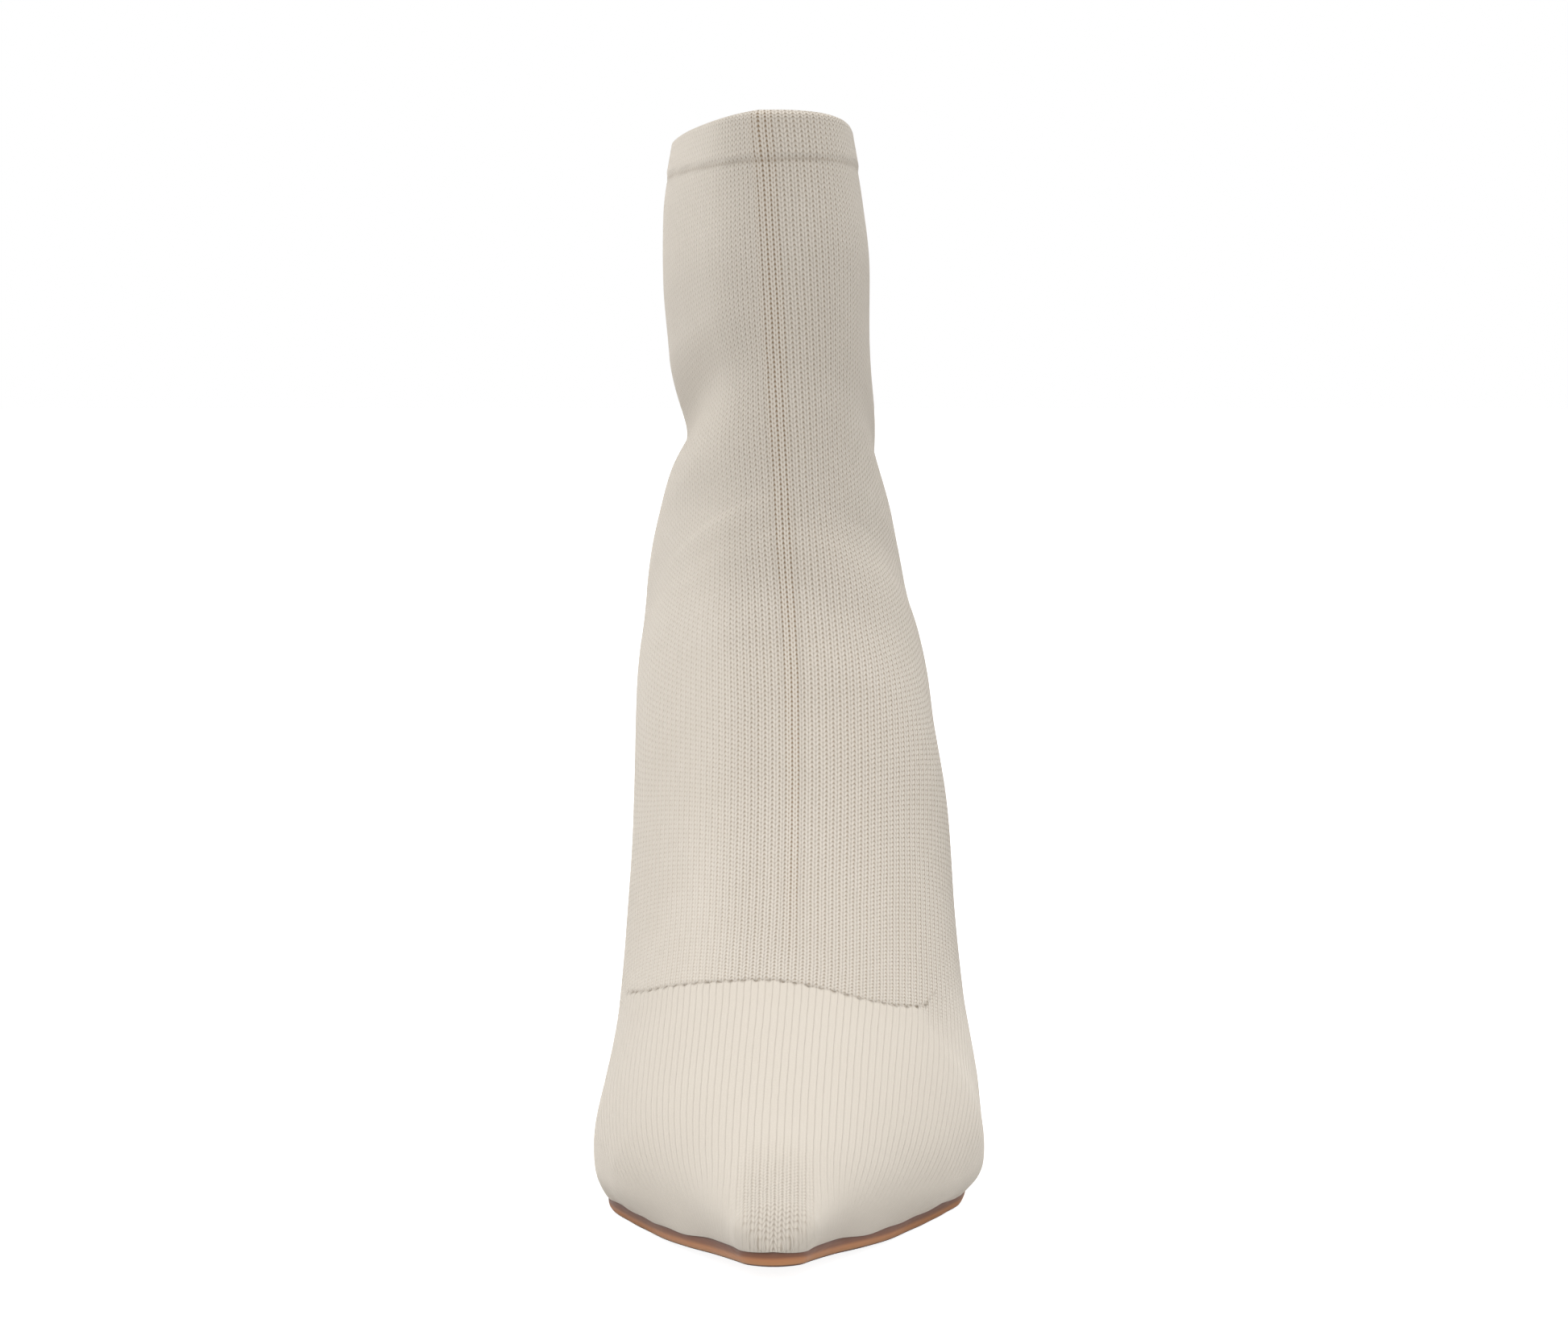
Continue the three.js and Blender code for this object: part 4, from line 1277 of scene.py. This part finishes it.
def build_grain(tree, ins, outs):
    """Fine pores, drawn-out streaks and slow changes of tone."""
    pores = tree.nodes.new("ShaderNodeTexVoronoi")
    pores.feature = "SMOOTH_F1"
    tree.links.new(ins["Place"], pores.inputs["Vector"])
    tree.links.new(ins["Scale"], pores.inputs["Scale"])
    tree.links.new(pores.outputs["Distance"], outs["Height"])
    stretched = tree.nodes.new("ShaderNodeMapping")
    stretched.inputs["Scale"].default_value = (260, 260, 2600)
    tree.links.new(ins["Place"], stretched.inputs["Vector"])
    tree.links.new(noise(tree, stretched.outputs[0], 1, 3), outs["Streaks"])
    tree.links.new(noise(tree, ins["Place"], 60, 3), outs["Clouds"])


build_grain(grain_group, ins, outs)
print("grain group", len(grain_group.nodes), "nodes")

# %% [markdown]
# The knit is cream yarn, with painted shade in a browner tone down in its holes and grooves. The vamp
# and the shaft are stocking stitch, finer to look at on the inner side and behind. In front of the
# arched seam the toe is knitted tighter, so it shows smooth upright ribs, with open stitches only near
# its tip. Down the front, four narrow columns stand on the raised rib, with dots of painted shade in
# the grooves between them.

# %% Colours and strengths of the knit
knit_light = srgb(222, 214, 203)
knit_mid = srgb(208, 199, 186)
# The two darker tones below are painted shade, in the knit's hollows and in the rib's grooves.
knit_shade_tone = srgb(152, 128, 96)
rib_dot_shade = srgb(138, 108, 70)
# The seam's tone: its dark joints, partly painted shade in its groove.
seam_joint_and_shade = srgb(112, 94, 70)
notch_width = 2.8 * mm
knit_bump = 0.27 * mm
fuzz_bump = 0.1 * mm
stitch_wander = (0.16, 0.25, 0)  # of a stitch, across and along
fine_strength = 0.5  # how much of the stitches shows on the inner side and behind
toe_edge_calm = 0.75  # how much of them is lost low on the toe's sides
# Strengths of painted shade in holes and grooves, and of the hem line and seam notches, partly joints.
hole_shade = 0.85
groove_shade = 0.11
hem_joint_and_shade = 0.22
notch_dark = 0.92

nap = {"Sheen_Weight": 1.0, "Sheen_Roughness": 0.4, "Sheen_Tint": (1, 0.93, 0.83, 1)}
knit, knit_tree, knit_shader = new_material("cream knit", 0.95, **nap)
print("notches every", round(notch_width / mm, 1), "mm along the seam")


# %% Stitches that wander a little
def flipped(tree, value):
    """One less a value."""
    return calc(tree, "SUBTRACT", 1, value)


def times(tree, *values):
    """Values multiplied together."""
    product = values[0]
    for value in values[1:]:
        product = calc(tree, "MULTIPLY", product, value)
    return product


def line_along(tree, distance, half_width):
    """A soft line, 1 where a distance is nothing and fading to each side."""
    away = calc(tree, "DIVIDE", distance, half_width)
    return calc(tree, "EXPONENT", calc(tree, "MULTIPLY", calc(tree, "MULTIPLY", away, away), -1))


def knit_stitch(tree, place):
    """The stitch group, its columns wandering a little as in real knitting."""
    wobble = tree.nodes.new("ShaderNodeTexNoise")
    wobble.inputs["Scale"].default_value = 210
    tree.links.new(place, wobble.inputs["Vector"])
    warp = tree.nodes.new("ShaderNodeVectorMath")
    warp.operation = "MULTIPLY_ADD"
    tree.links.new(wobble.outputs["Color"], warp.inputs[0])
    warp.inputs[1].default_value = stitch_wander
    tree.links.new(stitches_of(tree), warp.inputs[2])
    return use_group(tree, stitch_group, stitches=warp.outputs[0])


print("stitches wander by up to", max(stitch_wander), "of their size")

# %% Where the stitches change, in mm on the boot
seam_soft, side_soft = 0.5, 26  # over which the toe's stitches begin, at the seam and beside its ends
tip_along = (14, 38)  # from the nose, where the open stitches of the tip fade
tip_beside = (4.5, 10)  # and from the crest
side_from_edge = (4, 17)  # from the sole, where the toe's sides are calm
side_beside = (8, 15)  # and from the crest
inner_fade = (-24, -7)  # around the boot, where the inner side's finer stitches end
behind_fade = (55, 80)  # and where those behind begin


def toe_zones(tree):
    """How far a point is in the close-knitted toe, and in the open stitches at its tip."""
    softness = calc(tree, "MULTIPLY_ADD", flipped(tree, read(tree, "seam_share")), side_soft, seam_soft)
    toe = ramp(tree, calc(tree, "DIVIDE", read(tree, "past_seam"), softness), -1.0, 0.2, 1.0, 0.0)
    beside = calc(tree, "ABSOLUTE", read(tree, "around"))
    along_tip = ramp(tree, read(tree, "along"), *tip_along, 0.85, 0.0)
    tip = times(tree, along_tip, ramp(tree, beside, *tip_beside, 1.0, 0.0))
    low = ramp(tree, read(tree, "from_edge"), *side_from_edge, 1.0, 0.0)
    sides = times(tree, low, ramp(tree, beside, *side_beside), toe)
    closed = times(tree, toe, flipped(tree, tip))
    return toe, closed, tip, sides


def stitch_strength(tree, toe, sides):
    """How much of the stitches shows at each place."""
    around_here = read(tree, "around")
    inner = ramp(tree, around_here, *inner_fade, fine_strength, 1.0)
    behind = ramp(tree, around_here, *behind_fade, 1.0, fine_strength)
    fine = calc(tree, "MAXIMUM", times(tree, inner, behind), toe)
    return times(tree, calc(tree, "MULTIPLY_ADD", sides, -toe_edge_calm, 1), fine)


print("stitches fine up to", inner_fade[0], "mm and again from", behind_fade[1], "mm around")


# %% The seam's notches, and the knit's relief
def seam_notches(tree):
    """Small dark notches on the toe seam, scalloped between: joints, with painted shade in the groove."""
    step = calc(tree, "FRACT", calc(tree, "DIVIDE", read(tree, "around"), notch_width / mm))
    from_notch = calc(tree, "ABSOLUTE", calc(tree, "MULTIPLY_ADD", step, 2, -1))
    scallop = calc(tree, "MULTIPLY_ADD", from_notch, -0.55, read(tree, "past_seam"))
    seam_line = line_along(tree, calc(tree, "ADD", scallop, 0.2), 0.6)
    return times(tree, seam_line, read(tree, "seam_share"), ramp(tree, from_notch, 0.12, 0.55, 1.0, 0.26))


def knit_height(tree, stitch, rib, closed, shown):
    """The height of the yarn: Vs with holes between them, and smooth ribs where the toe is close."""
    open_knit = flipped(tree, closed)
    ridge = calc(tree, "MULTIPLY_ADD", stitch["Rib"], 0.42, times(tree, stitch["Height"], 0.2))
    raised = calc(tree, "MULTIPLY_ADD", stitch["Rib"], times(tree, rib, 0.35), stitch["Height"])
    height = calc(tree, "ADD", times(tree, raised, open_knit), times(tree, ridge, closed))
    height = calc(tree, "SUBTRACT", height, times(tree, stitch["Hole"], open_knit, 0.4))
    return times(tree, height, shown, calc(tree, "MULTIPLY_ADD", rib, -0.35, 1))


print("bump of the knit", round(knit_bump / mm, 2), "mm")


# %% The knit's colour
def yarn_colour(tree, place, stitch, closed, shown):
    """Cream yarn in slow clouds, a little different by stitch, with painted shade in its hollows."""
    open_knit = flipped(tree, closed)
    lit = mix(tree, ramp(tree, noise(tree, place, 45, 3), 0.2, 0.8, 0.4, 0.75), knit_mid, knit_light)
    lit = mix(tree, times(tree, stitch["Mottle"], 0.3, open_knit), lit, knit_mid)
    # Painted shade: darker where the yarn lies low, in the holes of open stitches and in the close toe's
    # grooves.
    depth = calc(tree, "POWER", calc(tree, "SUBTRACT", 1, stitch["Height"], clamp=True), 1.6)
    dark = calc(tree, "MULTIPLY_ADD", stitch["Hole"], hole_shade, times(tree, depth, 0.1))
    grooves = times(tree, stitch["Groove"], closed)
    dark = calc(tree, "MULTIPLY_ADD", grooves, groove_shade, times(tree, dark, open_knit))
    return mix(tree, times(tree, dark, shown), lit, knit_shade_tone)


print("knit from", [round(c, 2) for c in knit_shade_tone[:3]], "to", [round(c, 2) for c in knit_light[:3]])


# %% The whole knit
def build_knit(tree, shader):
    """Colour and relief of the stitches, by the zones that the mesh carries."""
    place = in_metres(tree)
    stitch = knit_stitch(tree, place)
    toe, closed, tip, sides = toe_zones(tree)
    shown = stitch_strength(tree, toe, sides)
    rib = read(tree, "rib")
    notches = seam_notches(tree)
    hem_line = line_along(tree, read(tree, "over_hem"), 0.35)
    dotted = times(tree, stitch["Groove"], calc(tree, "MULTIPLY_ADD", stitch["Hole"], 1.0, 0.25, clamp=True))
    dots = calc(tree, "MAXIMUM", dotted, stitch["Hole"])

    colour = yarn_colour(tree, place, stitch, closed, shown)
    # Painted shade: dots in the grooves of the rib and in the open stitches at the tip.
    rib_and_tip_dot_shade = calc(tree, "MAXIMUM", rib, times(tree, tip, 0.45))
    colour = mix(tree, times(tree, dots, rib_and_tip_dot_shade), colour, rib_dot_shade)
    # The seam's dark joints, partly painted shade in its groove.
    colour = mix(tree, times(tree, notches, notch_dark), colour, seam_joint_and_shade)
    # The hem's line: partly its dark joint, partly painted shade in its groove.
    colour = mix(tree, times(tree, hem_line, hem_joint_and_shade), colour, knit_shade_tone)
    colour = mix(tree, times(tree, toe, 0.55), colour, knit_mid)
    tree.links.new(colour, shader.inputs["Base Color"])

    height = knit_height(tree, stitch, rib, closed, shown)
    height = calc(tree, "SUBTRACT", height, times(tree, notches, 1.1))
    height = calc(tree, "SUBTRACT", height, times(tree, dotted, rib, 0.15))
    yarn_normal = bumped(tree, height, knit_bump)
    fuzz = noise(tree, place, 3800, 4, 0.7)
    tree.links.new(bumped(tree, fuzz, fuzz_bump, 0.6, yarn_normal), shader.inputs["Normal"])


build_knit(knit_tree, knit_shader)
upper.data.materials.append(knit)
print("knit", len(knit_tree.nodes), "nodes")

# %% [markdown]
# Inside, the sock shows its purl side: low bumps where the outside has hollows, and a little darker. That
# could be a second group, but turning over the height of the same stitches is enough at this size. The
# insole's cover is smooth, pale leather.

# %% Lining and insole
lining_light, lining_deep = srgb(205, 192, 172), srgb(160, 144, 122)
insole_deep, insole_light = srgb(196, 176, 148), srgb(206, 188, 162)

lining_cloth, tree, shader = new_material("lining knit", 0.9, Sheen_Weight=0.15)
stitch = use_group(tree, stitch_group, stitches=stitches_of(tree))
purl = calc(tree, "SUBTRACT", 1, stitch["Height"])
shade = mix(tree, calc(tree, "MULTIPLY", purl, 0.3), lining_light, lining_deep)
tree.links.new(shade, shader.inputs["Base Color"])
tree.links.new(bumped(tree, purl, 0.2 * mm), shader.inputs["Normal"])
lining.data.materials.append(lining_cloth)

insole_leather, tree, shader = new_material("insole leather", 0.62)
grain = use_group(tree, grain_group, place=in_metres(tree), scale=1400.0)
tone = mix(tree, ramp(tree, grain["Clouds"], 0.3, 0.7), insole_deep, insole_light)
tree.links.new(tone, shader.inputs["Base Color"])
tree.links.new(bumped(tree, grain["Height"], 0.05 * mm), shader.inputs["Normal"])
insole.data.materials.append(insole_leather)
print("lining and insole ready")

# %% [markdown]
# The sole's edge is burnished brown leather, with light and shade painted into its colour: painted shade
# in darker brown under the knit, a painted highlight in warm tan where it rounds under and catches the
# light from the floor, and a thin dark line of painted shadow where edge and tread meet. Its tone is read
# from the height on the edge, which the mesh carries, so the painted bands keep their place all the way
# round.

# %% Sole leather
# Painted light by height on the edge: shadow line at the tread, highlight below, shade under the knit.
edge_shade_and_highlight_tones = [
    (0.0, srgb(74, 48, 38)),
    (0.07, srgb(84, 54, 42)),
    (0.16, srgb(206, 146, 98)),
    (0.42, srgb(190, 128, 84)),
    (0.6, srgb(134, 86, 60)),
    (0.9, srgb(110, 70, 50)),
    (1.0, srgb(84, 54, 42)),
]
tread_deep, tread_light = srgb(172, 122, 88), srgb(190, 140, 104)
tread_streak = srgb(140, 96, 70)
tone_wander = 0.12  # how far the bands of the edge wander, as a share of its height


def toned(tree, value, tones):
    """A colour ramp through named tones."""
    colours = tree.nodes.new("ShaderNodeValToRGB")
    stops = colours.color_ramp.elements
    stops[0].position, stops[0].color = tones[0]
    stops[1].position, stops[1].color = tones[-1]
    for position, colour in tones[1:-1]:
        stops.new(position).color = colour
    put(tree, colours.inputs["Fac"], value)
    return colours.outputs["Color"]


sole_leather, tree, shader = new_material("tan leather", 0.42, Coat_Weight=0.25, Coat_Roughness=0.25)
grain = use_group(tree, grain_group, place=in_metres(tree))
unevenly = calc(tree, "SUBTRACT", grain["Clouds"], 0.5)
height_on_edge = calc(tree, "MULTIPLY_ADD", unevenly, tone_wander, read(tree, "edge_up"))
# The edge's brown, with its painted shade, painted highlight and painted shadow line.
edge_with_painted_light = toned(tree, height_on_edge, edge_shade_and_highlight_tones)
tread_colour = mix(tree, ramp(tree, grain["Clouds"], 0.3, 0.7), tread_deep, tread_light)
tread_colour = mix(tree, calc(tree, "MULTIPLY", grain["Streaks"], 0.2), tread_colour, tread_streak)
colour = mix(tree, ramp(tree, read(tree, "edge_side"), 0.2, 0.8), tread_colour, edge_with_painted_light)
tree.links.new(colour, shader.inputs["Base Color"])
tree.links.new(ramp(tree, grain["Streaks"], 0.3, 0.7, 0.36, 0.5), shader.inputs["Roughness"])
tree.links.new(bumped(tree, grain["Height"], 0.03 * mm, 0.5), shader.inputs["Normal"])
outsole.data.materials.append(sole_leather)
print("sole leather", len(tree.nodes), "nodes")

# %% [markdown]
# The heel's cover is the same yarn stretched tight, so its stitches are lower and calmer than the
# upper's. It could share the upper's material, but that one reads zones which only the upper's mesh
# carries. The lift is brown rubber with a fine, even grain.

# %% Heel cover and heel lift
cover_bump = 0.11 * mm
rubber_deep, rubber_light = srgb(112, 76, 58), srgb(134, 94, 70)

cover_cloth, tree, shader = new_material("heel cover", 0.92, Sheen_Weight=0.4, Sheen_Roughness=0.45)
stitch = use_group(tree, stitch_group, stitches=stitches_of(tree))
clouds = noise(tree, in_metres(tree), 45, 3)
shade = mix(tree, ramp(tree, clouds, 0.3, 0.7), knit_mid, knit_light)
# Painted shade: darker in the grooves between the columns.
shade = mix(tree, times(tree, flipped(tree, stitch["Rib"]), 0.2), shade, knit_shade_tone)
tree.links.new(shade, shader.inputs["Base Color"])
cover_relief = calc(tree, "MULTIPLY_ADD", stitch["Height"], 0.3, stitch["Rib"])
tree.links.new(bumped(tree, cover_relief, cover_bump), shader.inputs["Normal"])
heel.data.materials.append(cover_cloth)

lift_rubber, tree, shader = new_material("heel rubber", 0.6)
grain = use_group(tree, grain_group, place=in_metres(tree), scale=2500.0)
shade = mix(tree, grain["Clouds"], rubber_deep, rubber_light)
tree.links.new(shade, shader.inputs["Base Color"])
tree.links.new(bumped(tree, grain["Height"], 0.03 * mm), shader.inputs["Normal"])
tip.data.materials.append(lift_rubber)
print("heel materials ready")

# %% [markdown]
# The photograph has a pure white ground and light from all round, a little stronger from above and in
# front. A white world gives most of it, and a large soft lamp overhead brings out the toe. The floor is
# white too, so that it lights the sole from below.

# %% Floor
floor_half = 4.0
floor_up = -0.05 * mm
floor_glow = 0.9
paper_deep, paper_light = (0.5, 0.5, 0.5, 1), (0.54, 0.54, 0.54, 1)

floor_mesh = bpy.data.meshes.new("floor")
corners = [(x * floor_half, y * floor_half, floor_up) for x, y in ((-1, -1), (1, -1), (1, 1), (-1, 1))]
floor_mesh.from_pydata(corners, [], [(0, 1, 2, 3)])
floor = bpy.data.objects.new("floor", floor_mesh)
bpy.context.scene.collection.objects.link(floor)
floor_paper, tree, shader = new_material("white paper", 0.9)
fibres = noise(tree, in_metres(tree), 300, 2)
tree.links.new(mix(tree, fibres, paper_deep, paper_light), shader.inputs["Base Color"])
glow = tree.nodes.new("ShaderNodeEmission")
glow.inputs["Strength"].default_value = floor_glow
glowing_paper = tree.nodes.new("ShaderNodeAddShader")
tree.links.new(shader.outputs[0], glowing_paper.inputs[0])
tree.links.new(glow.outputs[0], glowing_paper.inputs[1])
seen = tree.nodes.new("ShaderNodeMixShader")
tree.links.new(tree.nodes.new("ShaderNodeLightPath").outputs["Is Camera Ray"], seen.inputs[0])
tree.links.new(shader.outputs[0], seen.inputs[1])
tree.links.new(glowing_paper.outputs[0], seen.inputs[2])
tree.links.new(seen.outputs[0], tree.nodes["Material Output"].inputs["Surface"])
floor.data.materials.append(floor_paper)
print("floor", 2 * floor_half, "m wide")

# %% World and lamps
world_strength = 0.78

world = bpy.data.worlds.new("studio")
bpy.context.scene.world = world
world.use_nodes = True
tree = world.node_tree
white_light = tree.nodes["Background"]
white_light.inputs["Color"].default_value = (1, 1, 1, 1)
white_light.inputs["Strength"].default_value = world_strength
seen_white = tree.nodes.new("ShaderNodeBackground")
seen_white.inputs["Color"].default_value = (1, 1, 1, 1)
seen_white.inputs["Strength"].default_value = 1.0
chosen = tree.nodes.new("ShaderNodeMixShader")
tree.links.new(tree.nodes.new("ShaderNodeLightPath").outputs["Is Camera Ray"], chosen.inputs[0])
tree.links.new(white_light.outputs[0], chosen.inputs[1])
tree.links.new(seen_white.outputs[0], chosen.inputs[2])
tree.links.new(chosen.outputs[0], tree.nodes["World Output"].inputs[0])


def soft_lamp(name, place, aim, size, power):
    """A square area lamp at a place, turned towards its aim."""
    lamp = bpy.data.lights.new(name, "AREA")
    lamp.size = size
    lamp.energy = power
    made = bpy.data.objects.new(name, lamp)
    made.location = place
    made.rotation_euler = (Vector(aim) - Vector(place)).to_track_quat("-Z", "Y").to_euler()
    bpy.context.scene.collection.objects.link(made)


soft_lamp("overhead", (-0.25, -0.6, 1.7), (0, -0.02, 0.1), 1.2, 14)
soft_lamp("left", (-1.9, -0.5, 0.9), (0, 0, 0.15), 1.0, 2.4)
soft_lamp("right", (1.7, -0.9, 0.6), (0, 0, 0.15), 1.0, 3.2)
soft_lamp("front", (0.2, -2.4, 0.6), (0, 0, 0.1), 1.2, 2.5)
bpy.context.scene.view_settings.view_transform = "Standard"
print("lamps ready")
